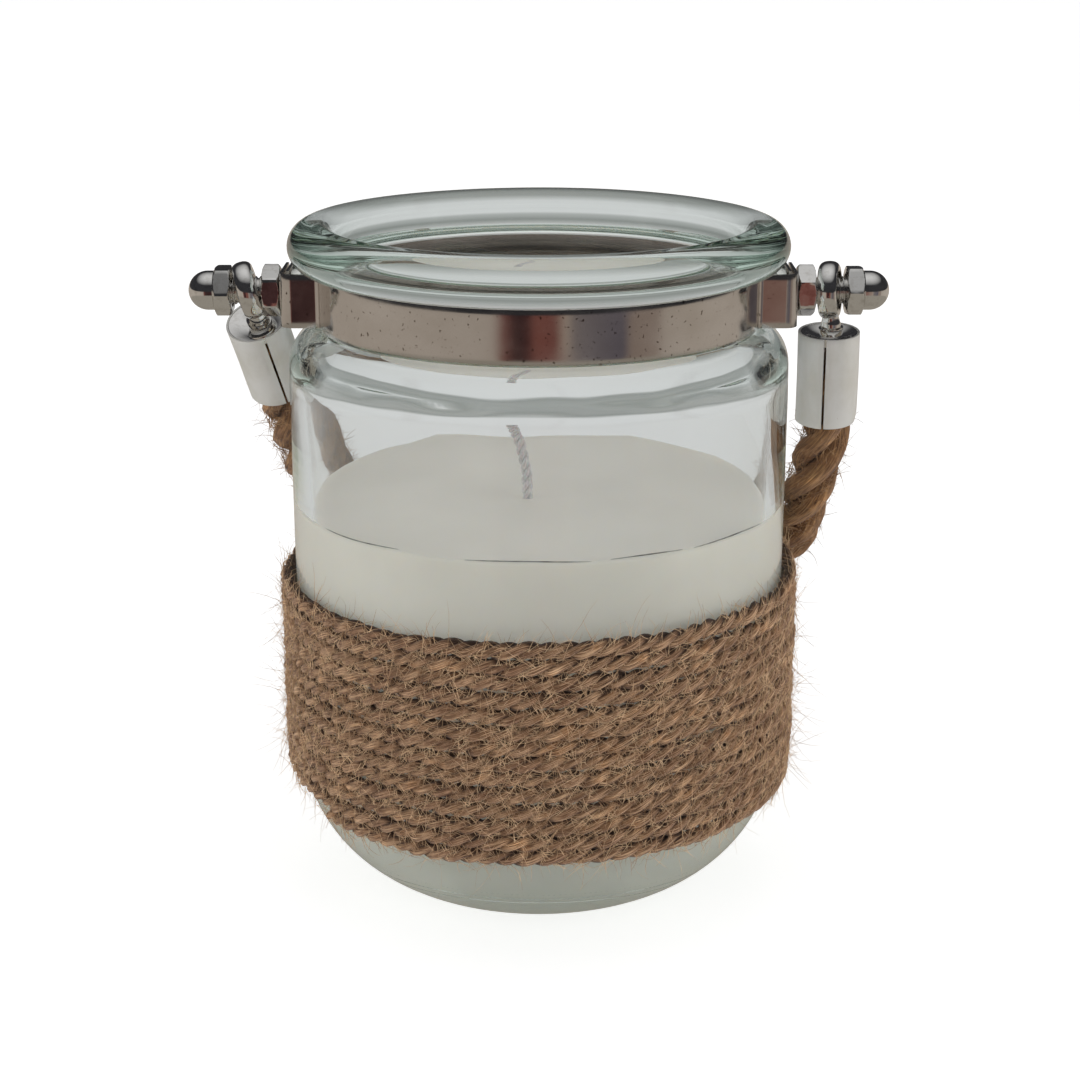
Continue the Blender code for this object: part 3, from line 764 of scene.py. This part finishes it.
def tube(centers, normal, other, radii, sides, ridges=None):
    """Points, faces and UVs of a closed tube. ridges(along, angle) scales its radius."""
    rows = len(centers)
    angles = np.linspace(0.0, 2 * math.pi, sides, endpoint=False)
    along = np.concatenate([[0.0], np.cumsum(np.linalg.norm(np.diff(centers, axis=0), axis=1))])
    reach = np.repeat(np.asarray(radii)[:, None], sides, axis=1)
    if ridges is not None:
        reach = reach * ridges(along[:, None], angles[None, :])
    ring = np.cos(angles)[None, :, None] * normal[:, None, :]
    ring = ring + np.sin(angles)[None, :, None] * other[:, None, :]
    points = centers[:, None, :] + reach[:, :, None] * ring
    turn = np.abs(angles - math.pi) * float(np.mean(radii))
    uvs = np.stack(np.broadcast_arrays(along[:, None], turn[None, :]), axis=2)
    faces = grid_faces(rows, sides)
    faces.append(tuple(range(sides)))
    faces.append(tuple((rows - 1) * sides + index for index in reversed(range(sides))))
    return points.reshape(-1, 3), faces, uvs.reshape(-1, 2)


def twisted(points, normal, other, offset, radius, strands, lay, sides, uneven, ridges=None, squash=None):
    """Several strands twisted round one path: joined points, faces, UVs and how proud each point is.

    A squashed strand lies on a surface, so only how far it stands off that surface counts as proud."""
    flatten = squash or 1.0
    along = np.concatenate([[0.0], np.cumsum(np.linalg.norm(np.diff(points, axis=0), axis=1))])
    all_points, all_faces, all_uvs, all_proud = [], [], [], []
    count = 0
    for strand in range(strands):
        angle = 2 * math.pi * (along / lay + strand / strands)
        wave = 1.0 + uneven * np.sin(along / (lay * 0.83) * 2 + strand * 2.1)
        wave += uneven * 0.7 * np.sin(along / (lay * 0.31) + strand * 4.0)
        centers = points + offset * flatten * np.cos(angle)[:, None] * normal
        centers = centers + offset * np.sin(angle)[:, None] * other
        made, faces, uvs = tube(centers, normal * flatten, other, radius * wave, sides, ridges)
        away = made.reshape(len(points), sides, 3) - points[:, None, :]
        reach = np.linalg.norm(away, axis=2)
        if squash:
            reach = np.einsum("ijk,ik->ij", away, normal) / flatten
        all_proud.append(reach.ravel() / (offset + radius))
        all_points.append(made)
        all_faces += [tuple(index + count for index in face) for face in faces]
        all_uvs.append(uvs + [strand * 0.37, strand * 0.11])
        count += len(made)
    return np.concatenate(all_points), all_faces, np.concatenate(all_uvs), np.concatenate(all_proud)


def fibres(name, starts, outward, along, count_points, length, radius, lift, curl, surface):
    """Loose fibres: thin three-sided tapering hairs that leave the surface, bend and curl."""
    number = len(starts)
    lengths = random.uniform(*length, number)
    swing = random.uniform(-math.pi, math.pi, number)
    across = np.cross(outward, along)
    heading = np.cos(swing)[:, None] * along + np.sin(swing)[:, None] * across
    heading += random.uniform(*lift, number)[:, None] * outward
    heading /= np.linalg.norm(heading, axis=1)[:, None]
    bending = random.normal(0.0, curl, (number, 3))
    bending -= 0.35 * curl * outward
    step = lengths / (count_points - 1)
    line = [starts]
    for index in range(count_points - 1):
        line.append(line[-1] + heading * step[:, None])
        heading = heading + bending * step[:, None]
        heading += random.normal(0.0, 0.10, (number, 3))
        heading /= np.linalg.norm(heading, axis=1)[:, None]
    line = np.array(line)
    side = np.cross(heading, outward + 0.01)
    side /= np.linalg.norm(side, axis=1)[:, None] + 1e-9
    rise = np.cross(heading, side)
    widths = random.uniform(*radius, number)
    points = []
    for index in range(count_points):
        taper = 1.0 - 0.75 * (index / (count_points - 1)) ** 1.5
        for corner in range(3):
            angle = 2 * math.pi * corner / 3
            reach = (widths * taper)[:, None]
            points.append(line[index] + reach * (math.cos(angle) * side + math.sin(angle) * rise))
    points = np.array(points).reshape(count_points, 3, number, 3).transpose(2, 0, 1, 3).reshape(-1, 3)
    faces = []
    pattern = grid_faces(count_points, 3)
    last = (count_points - 1) * 3
    pattern += [(2, 1, 0), (last, last + 1, last + 2)]
    for fibre in range(number):
        first = fibre * count_points * 3
        faces += [tuple(first + index for index in face) for face in pattern]
    return add_mesh(name, points, faces, surface, fix_normals=False)


def make_rope():
    """The rope handle: three fat strands, ridged by their yarns, with loose fibres all over."""
    surface = jute("jute_rope", (0.055, 0.024, 0.009), (0.20, 0.10, 0.04), (0.42, 0.235, 0.10), 0.22 * MM)
    points = smooth_route(rope_route(), 260)
    normal, other = carried_frames(points)

    def yarns(along, angle):
        turn = along / (6.5 * MM)
        return 1.0 + 0.05 * np.cos(5 * (angle - turn)) + 0.025 * np.sin(9 * angle + 3 * turn)

    strand = ROPE_DIAMETER * 0.25
    offset = ROPE_DIAMETER * 0.248
    shape = twisted(points, normal, other, offset, strand, ROPE_STRANDS, ROPE_LAY, 22, 0.035, yarns)
    rope = add_mesh("rope_strands", shape[0], shape[1], surface, shape[2], fix_normals=False, proud=shape[3])
    finish_piece(rope, "handle", "jute_rope", "rope_handle")

    number = ROPE_FIBRES
    mouth = int(len(points) * (SLEEVE_LENGTH - 1.0 * MM) / ROPE_LENGTH)
    spots = random.integers(mouth, len(points) - mouth, number)
    angle = random.uniform(0.0, 2 * math.pi, number)
    outward = np.cos(angle)[:, None] * normal[spots] + np.sin(angle)[:, None] * other[spots]
    ahead = np.cross(normal, other)[spots]
    starts = points[spots] + outward * ROPE_DIAMETER * random.uniform(0.38, 0.46, number)[:, None]
    hair = loose_fibre("rope_fibre", (0.17, 0.08, 0.03), (0.42, 0.24, 0.11))
    limits = ((2.5 * MM, 6.5 * MM), (0.045 * MM, 0.09 * MM), (-0.2, 0.15))
    fuzz = fibres("rope_fibres", starts, outward, ahead, 7, *limits, 260.0, hair)
    finish_piece(fuzz, "handle", "jute_rope")


# ================================================================ glass jar
def heel_outline():
    """The outer side below the body, and the height where the straight body starts."""
    middle = BODY_RADIUS - HEEL_RADIUS
    spread = HEEL_RADIUS - TOE_RADIUS
    toe_across = middle + spread * math.sin(TOE_ANGLE)
    height = TOE_RADIUS + spread * math.cos(TOE_ANGLE)
    points = arc((middle, height), HEEL_RADIUS, 0.0, TOE_ANGLE - math.pi / 2, 22)
    points += arc((toe_across, TOE_RADIUS), TOE_RADIUS, TOE_ANGLE - math.pi / 2, -math.pi / 2, 5)[1:]
    inner = toe_across - FOOT_WIDTH
    points += [(inner, 0.0), (inner - 0.5 * MM, 0.2 * MM), (inner - FOOT_RECESS, FOOT_RECESS * 0.8)]
    points += [(inner * 0.5, FOOT_RECESS * 0.97), (0.0, FOOT_RECESS)]
    return points, height


def body_radius_at(height):
    """The jar's outer radius at a height on the body or the round heel."""
    _, straight = heel_outline()
    drop = max(straight - height, 0.0)
    return BODY_RADIUS - HEEL_RADIUS + math.sqrt(HEEL_RADIUS**2 - drop**2)


def bore_radius_at(height):
    """The jar's inner radius at a height on the slightly flared wall over the inner heel."""
    low = FLOOR + CAVITY_HEEL
    share = (height - low) / (SHOULDER_BASE - 2.5 * MM - low)
    return CAVITY_RADIUS + (BORE_TOP_RADIUS - CAVITY_RADIUS) * share


def eased(first, last, share):
    """A value carried smoothly from first to last."""
    return first + (last - first) * share * share * (3 - 2 * share)


def jar_profile():
    """The whole outline of the glass: out from under the base, up, over the rim and down the inside."""
    heel, straight = heel_outline()
    outside = heel[::-1]
    outside += [(BODY_RADIUS, up) for up in np.linspace(straight, SHOULDER_BASE, 14)[1:-1]]
    for step in range(15):
        angle = math.pi / 2 * step / 14
        across = NECK_RADIUS + 0.3 * MM + (BODY_RADIUS - NECK_RADIUS - 0.3 * MM) * math.cos(angle)
        outside.append((across, SHOULDER_BASE + (SHOULDER_TOP - SHOULDER_BASE) * math.sin(angle)))
    outside += [(NECK_RADIUS, SHOULDER_TOP + 0.6 * MM), (NECK_RADIUS, RIM_BASE - 5.0 * MM)]
    outside += [(NECK_RADIUS, RIM_BASE - 0.4 * MM), (NECK_RADIUS + 0.4 * MM, RIM_BASE + 0.05 * MM)]
    half = (RIM_TOP - RIM_BASE) / 2
    outside += arc((RIM_RADIUS - half, (RIM_TOP + RIM_BASE) / 2), half, -math.radians(82.0), math.pi / 2, 22)
    inside = arc((MOUTH_RADIUS + LIP, RIM_TOP - LIP), LIP, math.pi / 2, math.pi, 9)
    inside += [(MOUTH_RADIUS, up) for up in np.linspace(RIM_TOP - 3.2 * MM, SHOULDER_TOP + 2.5 * MM, 5)]
    turn = SHOULDER_BASE - 2.5 * MM
    for step in range(1, 13):
        share = step / 12
        up = SHOULDER_TOP + 1.0 * MM + (turn - SHOULDER_TOP - 1.0 * MM) * share
        inside.append((eased(MOUTH_RADIUS + 0.1 * MM, BORE_TOP_RADIUS, share), up))
    for up in np.linspace(turn - 1.5 * MM, FLOOR + CAVITY_HEEL, 12)[:-1]:
        inside.append((bore_radius_at(up), up))
    inside += arc((CAVITY_RADIUS - CAVITY_HEEL, FLOOR + CAVITY_HEEL), CAVITY_HEEL, 0.0, -math.pi / 2, 16)
    inside += [(8.0 * MM, FLOOR + 0.4 * MM), (0.0, FLOOR + 0.5 * MM)]
    return outside + inside


def make_jar():
    """The pressed glass jar, with the slight unevenness of moulded glass at neck and shoulder."""

    def uneven(across, up, angle):
        wall = BORE_TOP_RADIUS + 0.2 * MM if up < SHOULDER_BASE else NECK_RADIUS - 0.5 * MM
        near_shoulder = math.exp(-(((up - SHOULDER_TOP) / (7.0 * MM)) ** 2))
        change = 0.0
        if across < wall and wax_high.z < up < RIM_TOP - 1.5 * MM:
            change -= 0.4 * MM * near_shoulder * (1 + waves(3, 7, 3, 19, angle, up, 900.0))
            change -= 0.05 * MM * (1 + waves(5, 5, 2, 9, angle, up, 260.0))
        elif across > wall and SHOULDER_BASE - 3 * MM < up < SHOULDER_TOP:
            change -= 0.16 * MM * (1 + waves(8, 7, 3, 23, angle, up, 1200.0)) * near_shoulder
        lift = 0.0
        if up > RIM_BASE:
            lift = -0.12 * MM * (1 + waves(11, 4, 1, 5, angle))
        return change, lift

    jar = lathe("jar_glass", jar_profile(), 224, clear_glass(), wobble=uneven)
    jar.visible_shadow = False
    finish_piece(jar, "jar", "clear_glass", "glass_jar")


# ================================================================ wax and wick
def make_wax():
    """The poured wax, which creeps up the wall and dips in the middle, and dark lines of painted shade for
    the gaps at its edge.
    """
    top = wax_high.z
    outer = bore_radius_at(top) + 0.04 * MM
    lower = CAVITY_RADIUS + 0.04 * MM
    dish = [(0.0, top - 0.75 * MM), (5.0 * MM, top - 0.74 * MM), (14.0 * MM, top - 0.66 * MM)]
    dish += [(24.0 * MM, top - 0.42 * MM), (32.0 * MM, top - 0.22 * MM), (37.0 * MM, top - 0.08 * MM)]
    dish += [(outer - 1.6 * MM, top + 0.05 * MM), (outer - 0.6 * MM, top + 0.2 * MM)]
    dish += [(outer - 0.15 * MM, top + 0.38 * MM), (outer, top + 0.4 * MM)]
    heel = CAVITY_HEEL + 0.02 * MM
    side = []
    for up in np.linspace(top - 0.4 * MM, FLOOR + CAVITY_HEEL, 12)[:-1]:
        side.append((bore_radius_at(up) + 0.04 * MM, up))
    low = arc((lower - heel, FLOOR + CAVITY_HEEL), heel, 0.0, -math.pi / 2, 14)
    profile = dish + side + low + [(0.0, FLOOR - 0.02 * MM)]

    def uneven(across, up, angle):
        if up > top - 0.3 * MM and across > 38.0 * MM:
            return 0.0, 0.22 * MM * waves(21, 6, 2, 14, angle)
        if up > top - 1.0 * MM:
            return 0.0, 0.12 * MM * waves(22, 4, 1, 5, angle) * across / outer
        return 0.0, 0.0

    wax = lathe("wax_fill", profile, 192, ivory_wax(), wobble=uneven)
    finish_piece(wax, "jar", "ivory_wax", "candle_wax", "wick_sustainer")

    # Painted shade: thin dark tubes along the wax's top edge stand in for the shade in the gaps between wax
    # and glass.
    shaded = Recipe("gap_painted_shade", (0.2, 0.19, 0.17), 0.6)
    mottle = shaded.noise(shaded.coordinates("Object", (400.0, 400.0, 400.0)), 3.0)
    tone = shaded.ramp(mottle, [(0.35, (0.12, 0.115, 0.1)), (0.6, (0.42, 0.41, 0.38))])
    shaded.join(tone, shaded.shader.inputs["Base Color"])
    for number, (first, last) in enumerate(GAP_SHADE_SPANS):
        turns = np.radians(np.linspace(first, last, 60))
        reach = outer - 0.03 * MM
        up = top + 0.46 * MM + 0.16 * MM * np.sin(turns * 9.0 + number * 2.0)
        line = np.column_stack([reach * np.sin(turns), -reach * np.cos(turns), up])
        outward = np.column_stack([np.sin(turns), -np.cos(turns), 0.0 * turns])
        rise = np.tile([0.0, 0.0, 1.0], (60, 1))
        width = 0.02 * MM + 0.09 * MM * np.sin(np.linspace(0.0, math.pi, 60)) ** 0.5
        edge = tube(line, outward, rise, width, 6)
        dark_line = add_mesh("painted_shade_line_" + str(number + 1), edge[0], edge[1], shaded.material, uvs=edge[2])
        finish_piece(dark_line, "jar", "ivory_wax")


def make_wick():
    """A braided cotton wick that leans and bends where it leaves the wax."""
    base = Vector((wick_high.x - 1.0 * MM, (wick_low.y + wick_high.y) / 2, wax_high.z - 3.0 * MM))
    height = wick_high.z - base.z
    lean = (wick_low.x + 1.0 * MM) - base.x
    points = []
    for step in range(60):
        share = step / 59
        above = max(share * height - 3.0 * MM, 0.0) / (height - 3.0 * MM)
        side = lean * above**1.25 + 0.25 * MM * math.sin(above * 7.0)
        points.append((base.x + side, base.y + 0.2 * MM * math.sin(above * 4.0), base.z + share * height))
    points = np.array(points)
    normal, other = carried_frames(points)
    shape = twisted(points, normal, other, 0.47 * MM, 0.52 * MM, 3, 5.5 * MM, 10, 0.06)
    wick = add_mesh("wick_braid", shape[0], shape[1], wick_cotton(), uvs=shape[2], fix_normals=False)
    finish_piece(wick, "jar", "wick_cotton", "wick")


# ================================================================ twine wrap
def twine_path():
    """The twine's own line, wound upward from its lower end, with the rows never quite even."""
    pitch = (twine_high.z - twine_low.z) / TWINE_ROWS
    turns = TWINE_ROWS - 0.35
    count = int(turns * 2 * math.pi * BODY_RADIUS / TWINE_STEP)
    place = np.linspace(0.0, turns, count)
    angle = TWINE_START + place * 2 * math.pi
    up = twine_low.z + pitch * (place + 0.62)
    for turns_per, size, phase in ((3, 0.16, 0.4), (7, 0.11, 2.2), (13, 0.08, 4.0)):
        drift = np.sin(angle * turns_per * 0.91 + phase + place * 0.7)
        up = up + size * MM * drift
    thick = pitch / 2 * TWINE_FLATTEN
    wall = np.array([body_radius_at(height) for height in up])
    slack = 0.22 * MM * (1 + np.sin(angle * 2.93 + place * 1.3))
    slack *= 0.5 + 0.5 * np.sin(place * 2.1 + 1.0)
    reach = wall + thick + 0.12 * MM + slack * 0.5
    path = np.stack([reach * np.cos(angle), reach * np.sin(angle), up], axis=1)
    drop = np.array([body_radius_at(height + 0.2 * MM) - body_radius_at(height) for height in up])
    tilt = np.arctan2(drop, 0.2 * MM)
    radial = np.stack([np.cos(angle), np.sin(angle), np.zeros(count)], axis=1)
    rise = np.array([0.0, 0.0, 1.0])
    outward = radial * np.cos(tilt)[:, None] - rise * np.sin(tilt)[:, None]
    upward = rise * np.cos(tilt)[:, None] + radial * np.sin(tilt)[:, None]
    return path, outward, upward, pitch


def make_twine():
    """One long jute twine wound round the lower body, with its loose fibres."""
    path, outward, upward, pitch = twine_path()
    surface = jute("jute_twine", (0.055, 0.024, 0.01), (0.23, 0.118, 0.055), (0.68, 0.45, 0.27), 0.14 * MM)
    ply = pitch * 0.292
    offset = pitch * 0.272
    shape = twisted(
        path, outward, upward, offset, ply, TWINE_PLIES, TWINE_LAY, 7, 0.13, squash=TWINE_FLATTEN
    )
    twine = add_mesh("twine_coil", shape[0], shape[1], surface, shape[2], fix_normals=False, proud=shape[3])
    finish_piece(twine, "jar", "jute_twine", "twine_wrap")

    hair = loose_fibre("twine_fibre", (0.36, 0.2, 0.1), (0.78, 0.54, 0.32))
    ahead = np.cross(upward, outward)

    def patch(name, number, length, radius, lift, curl, edge):
        spots = random.integers(int(edge * len(path)), int((1.0 - edge) * len(path)), number)
        spread = random.uniform(-0.45, 0.45, number)[:, None] * pitch
        starts = path[spots] + outward[spots] * pitch * 0.36 + upward[spots] * spread
        made = fibres(name, starts, outward[spots], ahead[spots], 6, length, radius, lift, curl, hair)
        finish_piece(made, "jar", "jute_twine")

    for layer in range(3):
        name = "twine_short_fibres_" + str(layer + 1)
        limits = ((2.0 * MM, 6.0 * MM), (0.035 * MM, 0.07 * MM), (-0.2, 0.08))
        patch(name, TWINE_SHORT_FIBRES, *limits, 190.0, 0.0)
    limits = ((6.0 * MM, 13.0 * MM), (0.035 * MM, 0.065 * MM), (-0.1, 0.12))
    patch("twine_long_fibres", TWINE_LONG_FIBRES, *limits, 110.0, 0.1)


# ================================================================ strap, bolts and nuts
def strap_path(reach, tail, mirror):
    """Half of the strap's middle line seen from above. mirror is -1 in front and 1 behind."""
    ring = NECK_RADIUS + 0.3 * MM + STRAP_THICKNESS / 2
    wall = EAR_HALF_WIDTH
    across = math.sqrt((ring + EAR_CREASE) ** 2 - (wall + EAR_CREASE) ** 2)
    turn = math.atan2(wall + EAR_CREASE, across)
    right = [(reach, -up) for up in np.linspace(tail, -wall + EAR_ROUND, 12)[:-1]]
    right += arc((reach - EAR_ROUND, wall - EAR_ROUND), EAR_ROUND, 0.0, math.pi / 2, 14)
    right += arc((across, wall + EAR_CREASE), EAR_CREASE, -math.pi / 2, turn - math.pi, 12)
    around = arc((0.0, 0.0), ring, turn, math.pi - turn, 150)[1:-1]
    left = [(-x, y) for x, y in reversed(right)]
    return [(x, mirror * y) for x, y in right + around + left]


def make_straps():
    """The two halves of the polished neck strap."""
    surface = strap_steel()
    section = strip_section(STRAP_THICKNESS, strap_low.z, strap_high.z, 0.14 * MM, 6)
    reach = strap_high.x - STRAP_THICKNESS / 2
    inner = reach - STRAP_THICKNESS - 0.3 * MM
    front = swept_strip("strap_front", strap_path(reach, FRONT_TAIL, -1.0), section, surface)
    finish_piece(front, "jar", "polished_strap_steel", "front_band")
    rear = swept_strip("strap_rear", strap_path(inner, REAR_TAIL, 1.0), section, surface)
    finish_piece(rear, "jar", "polished_strap_steel", "rear_band")


def hex_reach(angle, limit):
    """How far a softly cornered hexagon reaches at an angle, cut to a limit."""
    power = 70.0
    total = sum(max(math.cos(angle - turn * math.pi / 3), 0.0) ** power for turn in range(6))
    return min(NUT_FLATS / 2 / total ** (1 / power), limit)


def hexed(name, rings, steps, place, surface):
    """A nut from rings of (up, limit, is it hexagonal), closed on the axis or through its bore."""
    points = []
    for up, limit, hexagonal in rings:
        for step in range(steps):
            angle = 2 * math.pi * step / steps
            reach = hex_reach(angle, limit) if hexagonal else limit
            points.append(place @ Vector((reach * math.cos(angle), reach * math.sin(angle), up)))
    faces = grid_faces(len(rings), steps, wrap_rows=True)
    return add_mesh(name, points, faces, surface, sharp=28.0)


def hex_rings(height):
    """The chamfered hexagonal outside of a nut, from its inner face to its outer face."""
    corner = NUT_FLATS / math.sqrt(3.0)
    flat = NUT_FLATS / 2 * 0.95
    rows = []
    for step in range(7):
        share = step / 6
        rows.append((share * 0.42 * MM, flat + (corner - flat) * share**0.75, True))
    upper = [(height - up, limit, True) for up, limit, _ in reversed(rows)]
    return rows + [(height / 2, corner, True)] + upper


def make_nuts(side, chrome):
    """The hex nut against the strap's ear and the domed cap nut at the bolt's end."""
    height = NUT_OUTER - NUT_INNER
    rings = [(0.35 * MM, BORE - 0.15 * MM, False), (0.0, BORE + 0.3 * MM, False)]
    rings += hex_rings(height)
    rings += [(height, BORE + 0.3 * MM, False), (height - 0.35 * MM, BORE - 0.15 * MM, False)]
    turn = Matrix.Rotation(math.pi / 6 + math.radians(3.0), 4, "Z")
    nut = hexed(side + "_nut", rings, 96, bolt_frame(side, NUT_INNER) @ turn, chrome)
    finish_piece(nut, "jar", "bright_chrome", side + "_hex_nut")

    length = CAP_TIP - CAP_INNER
    middle = length - DOME_RADIUS
    dome = [(up, across, False) for across, up in arc((0.0, middle), DOME_RADIUS, 0.0, math.pi / 2, 16)]
    rings = [(0.4 * MM, BORE - 0.1 * MM, False), (0.0, BORE + 0.3 * MM, False)]
    rings += hex_rings(CAP_HEX_HEIGHT)
    rings.append((CAP_HEX_HEIGHT, DOME_RADIUS + 0.25 * MM, False))
    rings.append((CAP_HEX_HEIGHT + 0.2 * MM, DOME_RADIUS, False))
    rings += dome
    rings += [(length * 0.6, 0.0, False), (length * 0.6, BORE - 0.1 * MM, False)]
    turn = Matrix.Rotation(math.radians(-3.0), 4, "Z")
    cap = hexed(side + "_cap", rings, 96, bolt_frame(side, CAP_INNER) @ turn, chrome)
    finish_piece(cap, "jar", "bright_chrome", side + "_cap_nut")


def make_bolt(side, chrome):
    """A pan-head bolt with a rolled thread."""
    face = HEAD_INNER + HEAD_HEIGHT
    length = SHANK_END - face
    steps = 28
    rows = [(0.0, -HEAD_HEIGHT), (HEAD_RADIUS * 0.72, -HEAD_HEIGHT * 0.92)]
    rows += [(HEAD_RADIUS, -HEAD_HEIGHT * 0.55), (HEAD_RADIUS, 0.0), (THREAD_TOP - THREAD_DEPTH, 0.0)]
    points = []
    place = bolt_frame(side, face)
    for across, up in rows:
        for step in range(steps):
            angle = 2 * math.pi * step / steps
            points.append(place @ Vector((across * math.cos(angle), across * math.sin(angle), up)))
    count = int(length / (THREAD_PITCH / 8))
    for row in range(1, count + 1):
        up = length * row / count
        for step in range(steps):
            turn = up / THREAD_PITCH - step / steps
            crest = abs((turn % 1.0) * 2 - 1)
            reach = THREAD_TOP - THREAD_DEPTH * (1 - min(crest * 1.25, 1.0))
            reach *= min(1.0, 0.82 + (length - up) / (2.2 * MM))
            angle = 2 * math.pi * step / steps
            points.append(place @ Vector((reach * math.cos(angle), reach * math.sin(angle), up)))
    points += [place @ Vector((0.0, 0.0, length))] * steps
    faces = grid_faces(len(rows) + count + 1, steps)
    bolt = add_mesh(side + "_bolt_thread", points, faces, chrome, sharp=45.0)
    finish_piece(bolt, "jar", "bright_chrome", side + "_bolt")


# ================================================================ eye rings and rope caps
def make_eye(side, chrome):
    """A heavy cast eye: an oval-section ring on a short collar that sits in the rope cap."""
    place = ring_frame(side)
    lay_down = Matrix.Rotation(math.pi / 2, 4, "Y")
    oval = []
    for step in range(24):
        angle = -2 * math.pi * step / 24
        across = RING_MIDDLE_RADIUS + RING_HALF_THICKNESS * math.cos(angle)
        sideways = math.copysign(abs(math.sin(angle)) ** 0.85, math.sin(angle))
        oval.append((across, RING_HALF_WIDTH * sideways))
    ring = lathe("ring", oval, 72, chrome, place=place @ lay_down, closed=True)
    start = -RING_MIDDLE_RADIUS - 0.1 * MM
    neck = [(0.0, start), (1.35 * MM, start), (1.45 * MM, start - 0.9 * MM), (1.62 * MM, start - 1.6 * MM)]
    neck += [(1.75 * MM, start - 2.0 * MM), (1.75 * MM, start - 2.5 * MM), (2.15 * MM, start - 2.7 * MM)]
    neck += [(2.2 * MM, start - 3.3 * MM), (2.0 * MM, -8.0 * MM), (0.0, -8.0 * MM)]
    collar = lathe("collar", neck, 40, chrome, place=place)
    eye = one_body(side + "_eye", [ring, collar])
    finish_piece(eye, "handle", "bright_chrome", side + "_eye_ring")


def make_rope_cap(side, chrome, satin):
    """The dished bright plate and the rolled sleeve with its open seam."""
    place = cap_frame(side)
    rim = SLEEVE_RADIUS - SLEEVE_WALL - 0.02 * MM
    top = -SLEEVE_TOP
    dish = [(0.0, top - 1.1 * MM), (1.9 * MM, top - 1.08 * MM), (2.4 * MM, top - 0.95 * MM)]
    dish += [(3.4 * MM, top - 0.6 * MM), (4.2 * MM, top - 0.28 * MM), (rim, top - 0.12 * MM)]
    dish += [(rim, top - 1.5 * MM), (0.0, top - 1.6 * MM)]
    plate = lathe(side + "_cap_plate", dish, 64, chrome, place=place, sharp=50.0)
    finish_piece(plate, "handle", "bright_chrome", side + "_ferrule_plate")

    turn = Matrix.Rotation(SEAM_TURN[side], 4, "Z")
    middle = SLEEVE_RADIUS - SLEEVE_WALL / 2
    first = -math.pi / 2 + SEAM_HALF_ANGLE
    path = arc((0.0, 0.0), middle, first, first + 2 * math.pi - 2 * SEAM_HALF_ANGLE, 96)
    section = strip_section(SLEEVE_WALL, top - SLEEVE_LENGTH, top, 0.13 * MM, 18)

    def crimp(point):
        """Draws the lower end in a little and leaves one seam edge slightly proud."""
        reach = math.hypot(point.x, point.y)
        angle = math.atan2(point.y, point.x)
        low = max(0.0, 1.0 - (point.z - (top - SLEEVE_LENGTH)) / (2.6 * MM))
        side_share = 0.45 + 0.55 * math.cos(angle - math.radians(20.0))
        change = -0.34 * MM * low**2 * side_share
        beside = (angle + math.pi / 2) / math.radians(16.0)
        if 0.0 < beside < 1.0:
            change -= 0.10 * MM * (1 - beside) ** 2
        change += 0.03 * MM * math.sin(3 * angle + point.z / (3.0 * MM))
        scale = (reach + change) / reach
        return Vector((point.x * scale, point.y * scale, point.z))

    sleeve = swept_strip(side + "_cap_sleeve", path, section, satin, place @ turn, crimp)
    finish_piece(sleeve, "handle", "satin_steel", side + "_ferrule_sleeve")


# ================================================================ the whole scene
make_stage()
make_rope()
make_jar()
make_wax()
make_wick()
make_twine()
make_straps()
chrome_finish = bright_chrome()
satin_finish = satin_steel()
for side_name in SIDES:
    make_nuts(side_name, chrome_finish)
    make_bolt(side_name, chrome_finish)
    make_eye(side_name, chrome_finish)
    make_rope_cap(side_name, chrome_finish, satin_finish)
